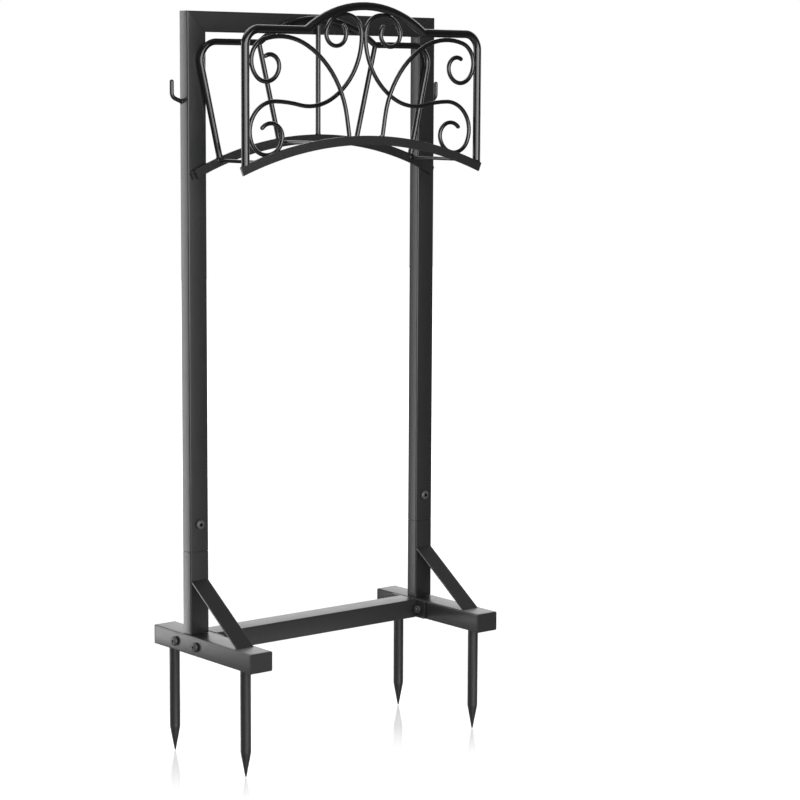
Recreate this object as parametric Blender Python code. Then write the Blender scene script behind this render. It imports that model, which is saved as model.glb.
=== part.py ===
"""A free-standing garden hose stand in black powder-coated steel, with a scroll-work hanger.

Metres, +Z up. The origin is on the ground, midway between the feet and in the plane of the posts.
The hanger reaches out towards -Y. Welded and bolted pieces are separate solids that nearly touch.
"""
from math import acos, asin, ceil, cos, hypot, pi, radians, sin, sqrt

import bmesh
import bpy
from mathutils import Matrix, Vector

# Fits
SEAT = 0.0003  # between two pieces that rest on each other
BOLT_FIT = 0.0003  # all round a bolt in its hole
SLEEVE_FIT = 0.0003  # all round a sleeve in its post

# Frame
FRAME_WIDTH = 0.430  # over both posts
FRAME_HEIGHT = 0.876  # ground to the top of the rail
POST_WIDTH = 0.030
POST_DEPTH = 0.0195
POST_WALL = 0.0015
POST_CORNER = 0.0018
RAIL_HEIGHT = 0.0275
TUBE_INNER_CORNER = 0.0003  # least radius inside a tube's corner
JOINT_HEIGHT = 0.142  # where the upper post stands on the lower one
SLEEVE_LENGTH = 0.104
SLEEVE_WALL = 0.0015
SLEEVE_CORNER = 0.0008
JOINT_BOLT_RISE = 0.038  # above the joint

# Feet and crossbar
FOOT_WIDTH = 0.036
FOOT_HEIGHT = 0.027
FOOT_WALL = 0.0018
FOOT_CORNER = 0.002
FOOT_FRONT = 0.154  # ahead of the posts' plane
FOOT_REAR = 0.0775  # behind it
END_PLATE = 0.002
CROSSBAR_DEPTH = 0.037
CROSSBAR_WALL = 0.0015
FLANGE_PLATE = 0.003
FLANGE_DEPTH = 0.076
FLANGE_MARGIN = 0.0005  # the flange plate is lower than the foot by this at top and bottom
FLANGE_BOLT_OFFSET = 0.0247  # each side of the posts' plane

# Braces
BRACE_WIDTH = 0.027
BRACE_THICKNESS = 0.003
BRACE_RISE = 0.0753  # up the post, above the foot
BRACE_SETBACK = 0.036  # behind the front of the foot

# Ground spikes
SPIKE_DIAMETER = 0.0145
SPIKE_LENGTH = 0.150
SPIKE_TAPER = 0.034
SPIKE_TIP = 0.0018
SPIKE_OUTSET = 0.0022  # outwards from the middle of the foot
SPIKE_FRONT_INSET = 0.0335
SPIKE_REAR_INSET = 0.027

# Fasteners
BOLT_DIAMETER = 0.006
BOLT_HEAD_HEIGHT = 0.0042
BOLT_FLANGE_DIAMETER = 0.0138
BOLT_FLANGE = 0.0010  # thickness
BUTTON_DIAMETER = 0.0118  # where the button rises from the flange
BUTTON_STEP = 0.0003  # height of that corner above the flange
BUTTON_SHOULDER_DIAMETER = 0.0102
BUTTON_SHOULDER_DROP = 0.0008  # below the top of the head
BUTTON_TOP_DIAMETER = 0.0072
SOCKET_FLATS = 0.004
SOCKET_DEPTH = 0.0022
NUT_FLATS = 0.010
NUT_HEIGHT = 0.005
NUT_CHAMFER = 0.0006
NUT_FACE_DIAMETER = 0.0095
BOLT_POINT = 0.0015  # how far a bolt stands out of its nut
BOLT_CHAMFER = 0.0006

# Hanger: its two hoops, measured to the middle of the bar
HANGER_REACH = 0.121  # posts' plane to the front hoop
FRONT_BAR = 0.0112
FRONT_DROP = 0.0255  # top of the rail down to the front hoop's shoulders
FRONT_CORNER = 0.022
BACK_BAR = 0.0088
BACK_DROP = 0.0405
BACK_CORNER = 0.025
BACK_INSET = 0.0033  # the back hoop is narrower than the front one by this at each side
BACK_LEAN = radians(13.2)
ARCH_RADIUS = 0.1656
ARCH_RISE = 0.0343  # crown above the shoulders
ARCH_BEND = 0.008

# Saddle
SADDLE_DROP = 0.1716  # top of the rail down to the middle of the strips' crown
STRIP_HEIGHT = 0.0125
STRIP_THICKNESS = 0.0032
FRONT_STRIP_RADIUS = 0.560
REAR_STRIP_RADIUS = 0.488
STRIP_OVERHANG = 0.006  # past the middle of the post
RUNG_DIAMETER = 0.005
RUNG_OUTER_INSET = 0.032  # from the middle of the post
RUNG_INNER_OFFSET = 0.062

# Bars of the back hoop
FAN_BAR = 0.0072
FAN_TOP_OFFSET = 0.100
FAN_FOOT_OFFSET = 0.0685

# Scrolls
SCROLL_BAR = 0.0059
ARCH_SCROLL_OFFSET = 0.0289
ARCH_SCROLL_HEADING = radians(80.5)
ARCH_SCROLL_STEM = 0.0243
ARCH_SCROLL_ARCS = ((0.1265, -53), (0.0943, -44.3), (0.0280, -118), (0.0216, -116), (0.0147, -139))
S_SCROLL_HEADING = radians(-130)
S_SCROLL_ARCS = (
    (0.0166, 240.5),
    (0.0322, 82.5),
    (0.0271, 76),
    (0.1003, 62.5),
    (0.0728, 41.5),
    (0.186, -12),
    (0.0403, -115.5),
    (0.0256, -142),
    (0.0186, -151.5),
)
S_SCROLL_TUCK = 0.0018  # middle of its lowest turn below the top edge of the strip in front of it
S_SCROLL_SHORTFALL = 0.0029  # its widest point stops short of the hoop's leg by this

# Packing plates between the rear strip and the posts
SPACER_WIDTH = 0.024
SPACER_CORNER = 0.0015

# Tool hooks
HOOK_BAR = 0.0058
HOOK_DROP = 0.1205  # top of the rail down to the root of the hook
HOOK_SETBACK = 0.0055  # behind the posts' plane
HOOK_SLOPE = radians(22)
HOOK_REACH = 0.0108
HOOK_BEND = 0.0085
HOOK_RISE = 0.0176

# Roundness of the solids
CHORD_ERROR = 0.00015
CORNER_STEPS = 3
STRIP_STEPS = 24
TURNED_STEPS = 18
THICK_BAR_SIDES = 12
MIDDLE_BAR_SIDES = 10
THIN_BAR_SIDES = 8
DOME = ((0.5, 1.0), (0.15, 0.8), (0.0, 0.4))  # a rounded end: diameters from the tip, share of radius
SHARP_ANGLE = radians(35)
FITTING_ROUNDS = 20
CUT_MARGIN = 0.004  # a cutter runs past the wall by this on each side

# Places that follow from the sizes above
POST_X = (FRAME_WIDTH - POST_WIDTH) / 2
FLANGE_X = POST_X - FOOT_WIDTH / 2 - SEAT - FLANGE_PLATE / 2
JOINT_BOLT_Z = JOINT_HEIGHT + JOINT_BOLT_RISE
BACK_PLANE = -(POST_DEPTH / 2 + SEAT + BACK_BAR / 2)
FRONT_SHOULDER = FRAME_HEIGHT - FRONT_DROP
BACK_SHOULDER = FRAME_HEIGHT - BACK_DROP
SADDLE_CROWN = FRAME_HEIGHT - SADDLE_DROP
ARCH_ANGLE = acos(1 - ARCH_RISE / (ARCH_RADIUS + ARCH_BEND))
ARCH_HALF_CHORD = (ARCH_RADIUS + ARCH_BEND) * sin(ARCH_ANGLE)
S_SCROLL_PLANE = -HANGER_REACH + STRIP_THICKNESS / 2 + SEAT + SCROLL_BAR / 2  # behind the strip
ARCH_SCROLL_PLANE = S_SCROLL_PLANE - SCROLL_BAR - SEAT
SPACER_THICKNESS = BACK_BAR / 2 - STRIP_THICKNESS / 2 - SEAT
SPACER_PLANE = -(POST_DEPTH / 2 + SEAT + SPACER_THICKNESS / 2)
SIDES = (("left", -1), ("right", 1))


def coated_steel(name, shade, roughness):
    """A Principled material for black-coated steel."""
    material = bpy.data.materials.new(name)
    material.use_nodes = True
    shader = material.node_tree.nodes["Principled BSDF"]
    shader.inputs["Base Color"].default_value = (shade, shade, shade, 1)
    shader.inputs["Roughness"].default_value = roughness
    shader.inputs["Metallic"].default_value = 0
    material.diffuse_color = (shade, shade, shade, 1)
    return material


def add_object(name, mesh, material):
    """Links a mesh into the scene under a node's name."""
    mesh.shade_smooth()
    mesh.set_sharp_from_angle(angle=SHARP_ANGLE)
    mesh.materials.append(material)
    item = bpy.data.objects.new(name, mesh)
    bpy.context.scene.collection.objects.link(item)
    return item


def mesh_from(bm, name):
    """Turns a bmesh into a mesh whose faces point outwards."""
    bmesh.ops.recalc_face_normals(bm, faces=bm.faces)
    mesh = bpy.data.meshes.new(name)
    bm.to_mesh(mesh)
    bm.free()
    return mesh


# Profiles and paths


def rounded_rectangle(width, depth, corner):
    """The corners of a section in its own plane, anticlockwise, with rounded edges."""
    points = []
    centres = ((1, 1), (-1, 1), (-1, -1), (1, -1))
    for quarter, (sx, sy) in enumerate(centres):
        cx = sx * (width / 2 - corner)
        cy = sy * (depth / 2 - corner)
        for step in range(CORNER_STEPS + 1):
            angle = pi / 2 * (quarter + step / CORNER_STEPS)
            points.append((cx + corner * cos(angle), cy + corner * sin(angle)))
    return points


def arc_steps(radius, angle):
    """How many chords keep an arc within the allowed error."""
    step = 2 * acos(1 - CHORD_ERROR / radius)
    return max(1, ceil(abs(angle) / step))


def follow(start, heading, moves):
    """The points of a path of straight runs and tangent arcs.

    Each move is a length alone, or a radius and a turn; a turn to the left is positive.
    """
    x, z = start
    points = [(x, z)]
    for move in moves:
        if isinstance(move, float):
            x += move * cos(heading)
            z += move * sin(heading)
            points.append((x, z))
            continue
        radius, turn = move
        side = 1 if turn > 0 else -1
        centre_x = x - side * radius * sin(heading)
        centre_z = z + side * radius * cos(heading)
        count = arc_steps(radius, turn)
        for step in range(1, count + 1):
            angle = heading + turn * step / count
            x = centre_x + side * radius * sin(angle)
            z = centre_z - side * radius * cos(angle)
            points.append((x, z))
        heading += turn
    return points


def heading_of(first, second):
    """The unit direction from one point of a path to the next."""
    length = hypot(second[0] - first[0], second[1] - first[1])
    return (second[0] - first[0]) / length, (second[1] - first[1]) / length


class Arc:
    """A circle in the XZ plane that pieces land on or line up with."""

    def __init__(self, centre_z, radius):
        self.centre_z = centre_z
        self.radius = radius

    def height(self, x):
        """The upper side of the circle above x."""
        return self.centre_z + sqrt(self.radius**2 - x * x)

    def distance(self, point):
        """How far a point lies from the circle's middle."""
        return hypot(point[0], point[1] - self.centre_z)

    def meet(self, point, direction):
        """Where a line that comes from outside first meets the circle."""
        px, pz = point[0], point[1] - self.centre_z
        half = px * direction[0] + pz * direction[1]
        run = -half - sqrt(half * half - (px * px + pz * pz - self.radius**2))
        return point[0] + run * direction[0], point[1] + run * direction[1]

    def normal(self, point):
        """The circle's outward direction at a point on it."""
        return Vector((point[0], 0, point[1] - self.centre_z)).normalized()


def strip_arc(radius, offset=0.0):
    """The arc of a saddle strip's middle line, or one parallel to it."""
    return Arc(SADDLE_CROWN - radius, radius + offset)


def hoop_half(shoulder, half_width, corner, lean, landing):
    """One half of a hoop's middle line, from its crown to where it lands on a strip."""
    shoulder_run = half_width - corner - ARCH_HALF_CHORD
    moves = (
        (ARCH_RADIUS, -ARCH_ANGLE),
        (ARCH_BEND, ARCH_ANGLE),
        shoulder_run,
        (corner, -(pi / 2 + lean)),
    )
    points = follow((0.0, shoulder + ARCH_RISE), 0.0, moves)
    downwards = (-sin(lean), -cos(lean))
    points.append(landing.meet(points[-1], downwards))
    return points


# Solids


def add_tube(bm, width, depth, corner, wall, ends):
    """A rectangular tube along Z, its ends at the heights that two functions of (x, y) give."""
    inner_corner = max(corner - wall, TUBE_INNER_CORNER)
    outer = rounded_rectangle(width, depth, corner)
    inner = rounded_rectangle(width - 2 * wall, depth - 2 * wall, inner_corner)
    rings = []
    for end in ends:
        for loop in (outer, inner):
            rings.append([bm.verts.new((x, y, end(x, y))) for x, y in loop])
    low_outer, low_inner, high_outer, high_inner = rings
    count = len(outer)
    for i in range(count):
        j = (i + 1) % count
        bm.faces.new((low_outer[i], low_outer[j], high_outer[j], high_outer[i]))
        bm.faces.new((low_inner[j], low_inner[i], high_inner[i], high_inner[j]))
        bm.faces.new((low_outer[j], low_outer[i], low_inner[i], low_inner[j]))
        bm.faces.new((high_outer[i], high_outer[j], high_inner[j], high_inner[i]))


def flat_end(height):
    """A square end for a tube."""
    return lambda x, y: height


def mitred_end(height, slope):
    """An end for a tube that slopes across its width."""
    return lambda x, y: height + slope * x


def tube(name, size, wall, corner, ends, placing, material):
    """A rectangular tube as a node."""
    bm = bmesh.new()
    add_tube(bm, size[0], size[1], corner, wall, ends)
    item = add_object(name, mesh_from(bm, name), material)
    item.matrix_world = placing
    return item


def plate(name, outline, thickness, placing, material):
    """A flat plate, its outline in its own XY plane and its thickness centred on it."""
    bm = bmesh.new()
    face = bm.faces.new([bm.verts.new((x, y, -thickness / 2)) for x, y in outline])
    grown = bmesh.ops.extrude_face_region(bm, geom=[face])
    corners = [v for v in grown["geom"] if isinstance(v, bmesh.types.BMVert)]
    bmesh.ops.translate(bm, verts=corners, vec=(0, 0, thickness))
    item = add_object(name, mesh_from(bm, name), material)
    item.matrix_world = placing
    return item


def ring_radius(radius, hexagonal, angle):
    """A ring's radius at an angle; a hexagon's radius is half its width over the flats."""
    if not hexagonal:
        return radius
    return radius / cos((angle + pi / 6) % (pi / 3) - pi / 6)


def add_turned(bm, rings, closed=False):
    """Joins rings of (radius, height, hexagonal) into a surface about Z."""
    loops = []
    for radius, height, hexagonal in rings:
        if radius == 0:
            loops.append([bm.verts.new((0, 0, height))])
            continue
        loop = []
        for step in range(TURNED_STEPS):
            angle = 2 * pi * step / TURNED_STEPS
            reach = ring_radius(radius, hexagonal, angle)
            loop.append(bm.verts.new((reach * cos(angle), reach * sin(angle), height)))
        loops.append(loop)
    pairs = list(zip(loops, loops[1:]))
    if closed:
        pairs.append((loops[-1], loops[0]))
    for low, high in pairs:
        for i in range(TURNED_STEPS):
            j = (i + 1) % TURNED_STEPS
            corners = [low[i % len(low)], low[j % len(low)], high[j % len(high)], high[i % len(high)]]
            bm.faces.new(list(dict.fromkeys(corners)))


def turned(name, rings, placing, material, closed=False):
    """Rings of (radius, height, hexagonal) joined into a solid about Z, or into a ring."""
    bm = bmesh.new()
    add_turned(bm, rings, closed)
    item = add_object(name, mesh_from(bm, name), material)
    item.matrix_world = placing
    return item


def make_bolt(name, grip, placing, material):
    """A flanged button-head bolt along -Z with its head's seat at the placing's origin."""
    shank = BOLT_DIAMETER / 2
    socket_floor = BOLT_HEAD_HEIGHT - SOCKET_DEPTH
    end = -(grip + NUT_HEIGHT + BOLT_POINT)
    rings = (
        (0, socket_floor, False),
        (SOCKET_FLATS / 2, socket_floor, True),
        (SOCKET_FLATS / 2, BOLT_HEAD_HEIGHT, True),
        (BUTTON_TOP_DIAMETER / 2, BOLT_HEAD_HEIGHT, False),
        (BUTTON_SHOULDER_DIAMETER / 2, BOLT_HEAD_HEIGHT - BUTTON_SHOULDER_DROP, False),
        (BUTTON_DIAMETER / 2, BOLT_FLANGE + BUTTON_STEP, False),
        (BOLT_FLANGE_DIAMETER / 2, BOLT_FLANGE, False),
        (BOLT_FLANGE_DIAMETER / 2, 0, False),
        (shank, 0, False),
        (shank, end + BOLT_CHAMFER, False),
        (shank - BOLT_CHAMFER, end, False),
        (0, end, False),
    )
    turned(name, rings, placing, material)


def make_nut(name, grip, placing, material):
    """A hexagonal nut on the far end of a bolt's grip."""
    bore = BOLT_DIAMETER / 2 + BOLT_FIT
    flat = NUT_FLATS / 2
    rings = (
        (bore, -grip, False),
        (flat, -grip, True),
        (flat, -grip - NUT_HEIGHT + NUT_CHAMFER, True),
        (NUT_FACE_DIAMETER / 2, -grip - NUT_HEIGHT, False),
        (bore, -grip - NUT_HEIGHT, False),
    )
    turned(name, rings, placing, material, closed=True)


def slide_to_plane(ring, direction, point, normal):
    """Moves a ring's corners along a direction on to a plane."""
    for vertex in ring:
        run = (point - vertex.co).dot(normal) / direction.dot(normal)
        vertex.co += run * direction


def rod(name, path, diameter, sides, material, start_cut=None, end_cut=None, round_ends=()):
    """A round bar along a path.

    A cut is a normal that the bar's end is trimmed square to, in place of its own direction.
    round_ends lists the ends, 0 or 1, that are domed.
    """
    centres = [Vector(point) for point in path]
    radii = [diameter / 2] * len(centres)
    for end in round_ends:
        tip, inner = (centres[0], centres[1]) if end == 0 else (centres[-1], centres[-2])
        outward = (tip - inner).normalized()
        dome_centres = [tip - outward * diameter * inset for inset, share in DOME]
        dome_radii = [diameter / 2 * share for inset, share in DOME]
        if end == 0:
            centres[:1] = dome_centres[::-1]
            radii[:1] = dome_radii[::-1]
        else:
            centres[-1:] = dome_centres
            radii[-1:] = dome_radii
    bm = bmesh.new()
    rings = []
    across = None
    last = len(centres) - 1
    for i, centre in enumerate(centres):
        before = (centre - centres[i - 1]).normalized() if i > 0 else None
        after = (centres[i + 1] - centre).normalized() if i < last else None
        along = ((before or after) + (after or before)).normalized()
        if across is None:
            across = along.orthogonal().normalized()
            if abs(along.y) < 0.5:
                across = along.cross(Vector((0, 1, 0))).normalized()
        across = (across - along * across.dot(along)).normalized()
        beside = along.cross(across)
        ring = []
        for side in range(sides):
            angle = 2 * pi * (side + 0.5) / sides
            offset = across * cos(angle) + beside * sin(angle)
            ring.append(bm.verts.new(centre + offset * radii[i]))
        rings.append(ring)
    if start_cut is not None:
        slide_to_plane(rings[0], (centres[1] - centres[0]).normalized(), centres[0], start_cut)
    if end_cut is not None:
        slide_to_plane(rings[-1], (centres[-1] - centres[-2]).normalized(), centres[-1], end_cut)
    for low, high in zip(rings, rings[1:]):
        for i in range(sides):
            j = (i + 1) % sides
            bm.faces.new((low[i], low[j], high[j], high[i]))
    bm.faces.new(rings[0])
    bm.faces.new(rings[-1])
    return add_object(name, mesh_from(bm, name), material)


def drill(item, centre, direction, diameter, wall):
    """Cuts a round hole through a wall of a node; the centre is at the middle of the wall."""
    bm = bmesh.new()
    radius = diameter / 2
    reach = wall / 2 + CUT_MARGIN
    profile = ((0, -reach), (radius, -reach), (radius, reach), (0, reach))
    add_turned(bm, [(across, along, False) for across, along in profile])
    name = f"cut_{item.name}_{len(item.modifiers)}"
    cutter = bpy.data.objects.new(name, mesh_from(bm, name))
    bpy.context.scene.collection.objects.link(cutter)
    cutter.matrix_world = facing(direction, centre)
    cutter.hide_render = True
    cutter.display_type = "WIRE"
    cut = item.modifiers.new("hole", "BOOLEAN")
    cut.operation = "DIFFERENCE"
    cut.solver = "EXACT"
    cut.object = cutter


def facing(direction, at):
    """A placing whose +Z points along a direction."""
    turn = Vector((0, 0, 1)).rotation_difference(Vector(direction)).to_matrix().to_4x4()
    return Matrix.Translation(at) @ turn


# Frame


def mitre_slope():
    """Rise of the mitre for each metre across the post, from its inner to its outer corner."""
    return RAIL_HEIGHT / POST_WIDTH


def make_rail(material):
    """The top rail, its ends mitred to the posts."""
    slope = 1 / mitre_slope()
    allowance = SEAT / 2 * sqrt(1 + slope**2)
    half = FRAME_WIDTH / 2 - POST_WIDTH / 2 - allowance
    placing = Matrix.Translation((0, 0, FRAME_HEIGHT - RAIL_HEIGHT / 2)) @ Matrix.Rotation(pi / 2, 4, "Y")
    ends = (mitred_end(-half, slope), mitred_end(half, -slope))
    tube("top_rail", (RAIL_HEIGHT, POST_DEPTH), POST_WALL, POST_CORNER, ends, placing, material)


def make_post(side, sign, material):
    """An upper and a lower post, with the sleeve that joins them."""
    slope = mitre_slope()
    allowance = SEAT / 2 * sqrt(1 + slope**2)
    top = mitred_end(FRAME_HEIGHT - RAIL_HEIGHT / 2 - allowance, slope * sign)
    section = (POST_WIDTH, POST_DEPTH)
    placing = Matrix.Translation((sign * POST_X, 0, 0))
    ends = (flat_end(JOINT_HEIGHT + SEAT), top)
    upper = tube(f"upper_post_{side}", section, POST_WALL, POST_CORNER, ends, placing, material)
    ends = (flat_end(FOOT_HEIGHT + SEAT), flat_end(JOINT_HEIGHT))
    tube(f"lower_post_{side}", section, POST_WALL, POST_CORNER, ends, placing, material)

    shrink = 2 * (POST_WALL + SLEEVE_FIT)
    section = (POST_WIDTH - shrink, POST_DEPTH - shrink)
    ends = (flat_end(JOINT_HEIGHT - SLEEVE_LENGTH / 2), flat_end(JOINT_HEIGHT + SLEEVE_LENGTH / 2))
    sleeve = tube(f"joint_sleeve_{side}", section, SLEEVE_WALL, SLEEVE_CORNER, ends, placing, material)
    hole = BOLT_DIAMETER + 2 * BOLT_FIT
    for item in (upper, sleeve):
        drill(item, (sign * POST_X, 0, JOINT_BOLT_Z), (0, 1, 0), hole, POST_DEPTH)


def make_foot(side, sign, material):
    """A foot with its end plates and its two spikes."""
    x = sign * POST_X
    placing = Matrix.Translation((x, 0, FOOT_HEIGHT / 2)) @ Matrix.Rotation(-pi / 2, 4, "X")
    inset = END_PLATE + SEAT
    ends = (flat_end(-FOOT_FRONT + inset), flat_end(FOOT_REAR - inset))
    section = (FOOT_WIDTH, FOOT_HEIGHT)
    foot = tube(f"foot_{side}", section, FOOT_WALL, FOOT_CORNER, ends, placing, material)
    outline = rounded_rectangle(FOOT_WIDTH, FOOT_HEIGHT, FOOT_CORNER)
    for end, y in (("front", -FOOT_FRONT + END_PLATE / 2), ("rear", FOOT_REAR - END_PLATE / 2)):
        upright = Matrix.Translation((x, y, FOOT_HEIGHT / 2)) @ Matrix.Rotation(pi / 2, 4, "X")
        plate(f"foot_end_plate_{end}_{side}", outline, END_PLATE, upright, material)
    for end, y in (("front", -FOOT_FRONT + SPIKE_FRONT_INSET), ("rear", FOOT_REAR - SPIKE_REAR_INSET)):
        spike_x = x + sign * SPIKE_OUTSET
        make_spike(f"ground_spike_{end}_{side}", spike_x, y, material)
        drill(foot, (spike_x, y, FOOT_WALL / 2), (0, 0, 1), SPIKE_DIAMETER + 2 * SEAT, FOOT_WALL)
    for offset in (-FLANGE_BOLT_OFFSET, FLANGE_BOLT_OFFSET):
        hole = BOLT_DIAMETER + 2 * BOLT_FIT
        drill(foot, (x, offset, FOOT_HEIGHT / 2), (1, 0, 0), hole, FOOT_WIDTH)


def make_spike(name, x, y, material):
    """A pointed spike whose head stands in the foot, up to the foot's upper wall."""
    radius = SPIKE_DIAMETER / 2
    tip = SPIKE_TIP / 2
    rings = (
        (0, -SPIKE_LENGTH, False),
        (tip, -SPIKE_LENGTH, False),
        (radius, -SPIKE_LENGTH + SPIKE_TAPER, False),
        (radius, FOOT_HEIGHT - FOOT_WALL - SEAT, False),
        (0, FOOT_HEIGHT - FOOT_WALL - SEAT, False),
    )
    turned(name, rings, Matrix.Translation((x, y, 0)), material)


def make_brace(side, sign, material):
    """A flat bar from the post's front face down to the foot, cut to seat on both."""
    top_y = -POST_DEPTH / 2 - SEAT
    foot_y = -FOOT_FRONT + BRACE_SETBACK
    foot_z = FOOT_HEIGHT + SEAT
    run = top_y - foot_y
    slant = hypot(run, BRACE_RISE)
    across = BRACE_THICKNESS * slant / BRACE_RISE
    down = BRACE_THICKNESS * slant / run
    outline = (
        (foot_y, foot_z),
        (foot_y + across, foot_z),
        (top_y, foot_z + BRACE_RISE - down),
        (top_y, foot_z + BRACE_RISE),
    )
    placing = Matrix.Translation((sign * POST_X, 0, 0)) @ Matrix(
        ((0, 0, 1, 0), (1, 0, 0, 0), (0, 1, 0, 0), (0, 0, 0, 1))
    )
    plate(f"brace_{side}", outline, BRACE_WIDTH, placing, material)


def make_crossbar(material):
    """The tube between the feet, with the flange plates that bolt it to them."""
    half = FLANGE_X - FLANGE_PLATE / 2 - SEAT
    placing = Matrix.Translation((0, 0, FOOT_HEIGHT / 2)) @ Matrix.Rotation(pi / 2, 4, "Y")
    ends = (flat_end(-half), flat_end(half))
    section = (FOOT_HEIGHT, CROSSBAR_DEPTH)
    tube("crossbar", section, CROSSBAR_WALL, POST_CORNER, ends, placing, material)
    outline = rounded_rectangle(FOOT_HEIGHT - 2 * FLANGE_MARGIN, FLANGE_DEPTH, POST_CORNER)
    for side, sign in SIDES:
        placing = Matrix.Translation((sign * FLANGE_X, 0, FOOT_HEIGHT / 2)) @ Matrix.Rotation(pi / 2, 4, "Y")
        flange = plate(f"crossbar_flange_{side}", outline, FLANGE_PLATE, placing, material)
        for offset in (-FLANGE_BOLT_OFFSET, FLANGE_BOLT_OFFSET):
            hole = BOLT_DIAMETER + 2 * BOLT_FIT
            drill(flange, (sign * FLANGE_X, offset, FOOT_HEIGHT / 2), (1, 0, 0), hole, FLANGE_PLATE)


def make_fasteners(material):
    """The bolts of the crossbar's flanges and of the post joints, each with its nut."""
    for side, sign in SIDES:
        head_x = sign * (POST_X + FOOT_WIDTH / 2 + SEAT)
        grip = FOOT_WIDTH + FLANGE_PLATE + 3 * SEAT
        for end, offset in (("front", -FLANGE_BOLT_OFFSET), ("rear", FLANGE_BOLT_OFFSET)):
            placing = facing((sign, 0, 0), (head_x, offset, FOOT_HEIGHT / 2))
            make_bolt(f"crossbar_bolt_{end}_{side}", grip, placing, material)
            make_nut(f"crossbar_nut_{end}_{side}", grip, placing, material)
        grip = POST_DEPTH + 2 * SEAT
        placing = facing((0, -1, 0), (sign * POST_X, -POST_DEPTH / 2 - SEAT, JOINT_BOLT_Z))
        make_bolt(f"joint_bolt_{side}", grip, placing, material)
        make_nut(f"joint_nut_{side}", grip, placing, material)


# Hanger


def in_plane(points, y, sign=1):
    """Puts the points of an (x, z) path into a plane of constant y, mirrored for the left."""
    return [(sign * x, y, z) for x, z in points]


def make_hoop(name, half, y, bar, sides, landing, material):
    """A hoop from one half of its middle line, its ends cut to the strip they stand on."""
    left = in_plane(half[:0:-1], y, -1)
    right = in_plane(half, y)
    cut_right = landing.normal(half[-1])
    cut_left = Vector((-cut_right.x, 0, cut_right.z))
    rod(name, left + right, bar, sides, material, start_cut=cut_left, end_cut=cut_right)


def make_strip(name, radius, y, material):
    """A flat bar on edge, bent to an arc and cut square at its ends."""
    middle = strip_arc(radius)
    half_angle = asin((POST_X + STRIP_OVERHANG) / radius)
    bm = bmesh.new()
    rings = []
    for step in range(STRIP_STEPS + 1):
        angle = half_angle * (2 * step / STRIP_STEPS - 1)
        ring = []
        for depth, rise in ((-1, -1), (1, -1), (1, 1), (-1, 1)):
            reach = radius + rise * STRIP_HEIGHT / 2
            x = reach * sin(angle)
            z = middle.centre_z + reach * cos(angle)
            ring.append(bm.verts.new((x, y + depth * STRIP_THICKNESS / 2, z)))
        rings.append(ring)
    for low, high in zip(rings, rings[1:]):
        for i in range(4):
            j = (i + 1) % 4
            bm.faces.new((low[i], low[j], high[j], high[i]))
    bm.faces.new(rings[0])
    bm.faces.new(rings[-1])
    return add_object(name, mesh_from(bm, name), material)


def make_saddle(material):
    """The two strips that the hose lies over, and the rungs between them."""
    make_strip("saddle_front_strip", FRONT_STRIP_RADIUS, -HANGER_REACH, material)
    make_strip("saddle_rear_strip", REAR_STRIP_RADIUS, BACK_PLANE, material)
    gap = STRIP_THICKNESS / 2 + SEAT
    outer = POST_X - RUNG_OUTER_INSET
    front_face = Vector((0, 1, 0))
    for side, sign in SIDES:
        for place, x in (("outer", outer), ("inner", RUNG_INNER_OFFSET)):
            start = (sign * x, -HANGER_REACH + gap, strip_arc(FRONT_STRIP_RADIUS).height(x))
            end = (sign * x, BACK_PLANE - gap, strip_arc(REAR_STRIP_RADIUS).height(x))
            name = f"saddle_rung_{place}_{side}"
            rod(name, (start, end), RUNG_DIAMETER, MIDDLE_BAR_SIDES, material, front_face, front_face)


def make_front_hoop(material):
    """The thick hoop over the front of the saddle."""
    landing = strip_arc(FRONT_STRIP_RADIUS, STRIP_HEIGHT / 2 + SEAT)
    half = hoop_half(FRONT_SHOULDER, POST_X, FRONT_CORNER, 0.0, landing)
    make_hoop("front_hoop", half, -HANGER_REACH, FRONT_BAR, THICK_BAR_SIDES, landing, material)


def make_back_hoop(material):
    """The thinner hoop against the posts, and the three bars that fan out inside it."""
    landing = strip_arc(REAR_STRIP_RADIUS, STRIP_HEIGHT / 2 + SEAT)
    half = hoop_half(BACK_SHOULDER, POST_X - BACK_INSET, BACK_CORNER, BACK_LEAN, landing)
    make_hoop("back_hoop", half, BACK_PLANE, BACK_BAR, MIDDLE_BAR_SIDES, landing, material)
    level = Vector((0, 0, 1))
    under = BACK_BAR / 2 + SEAT
    crown = (0.0, BACK_SHOULDER + ARCH_RISE - under)
    foot = (0.0, landing.height(0.0))
    path = in_plane((crown, foot), BACK_PLANE)
    rod("back_bar_centre", path, FAN_BAR, MIDDLE_BAR_SIDES, material, level, level)
    for side, sign in SIDES:
        top = (FAN_TOP_OFFSET, BACK_SHOULDER - under)
        aim = (FAN_FOOT_OFFSET, landing.height(FAN_FOOT_OFFSET))
        foot = landing.meet(top, heading_of(top, aim))
        cut = landing.normal(foot)
        cut.x *= sign
        path = in_plane((top, foot), BACK_PLANE, sign)
        rod(f"back_bar_{side}", path, FAN_BAR, MIDDLE_BAR_SIDES, material, level, cut)


def spread(points, low, high, axis):
    """Stretches a path along one axis so that it just fills the room from low to high."""
    values = [point[axis] for point in points]
    scale = (high - low) / (max(values) - min(values))
    fitted = []
    for point in points:
        moved = list(point)
        moved[axis] = low + (point[axis] - min(values)) * scale
        fitted.append(tuple(moved))
    return fitted


def beside_hoop(plane):
    """How far the middle of a rod in a plane stays from the front hoop's, seen from the front."""
    reach = (FRONT_BAR + SCROLL_BAR) / 2 + SEAT
    return sqrt(reach**2 - (plane + HANGER_REACH) ** 2)


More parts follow.
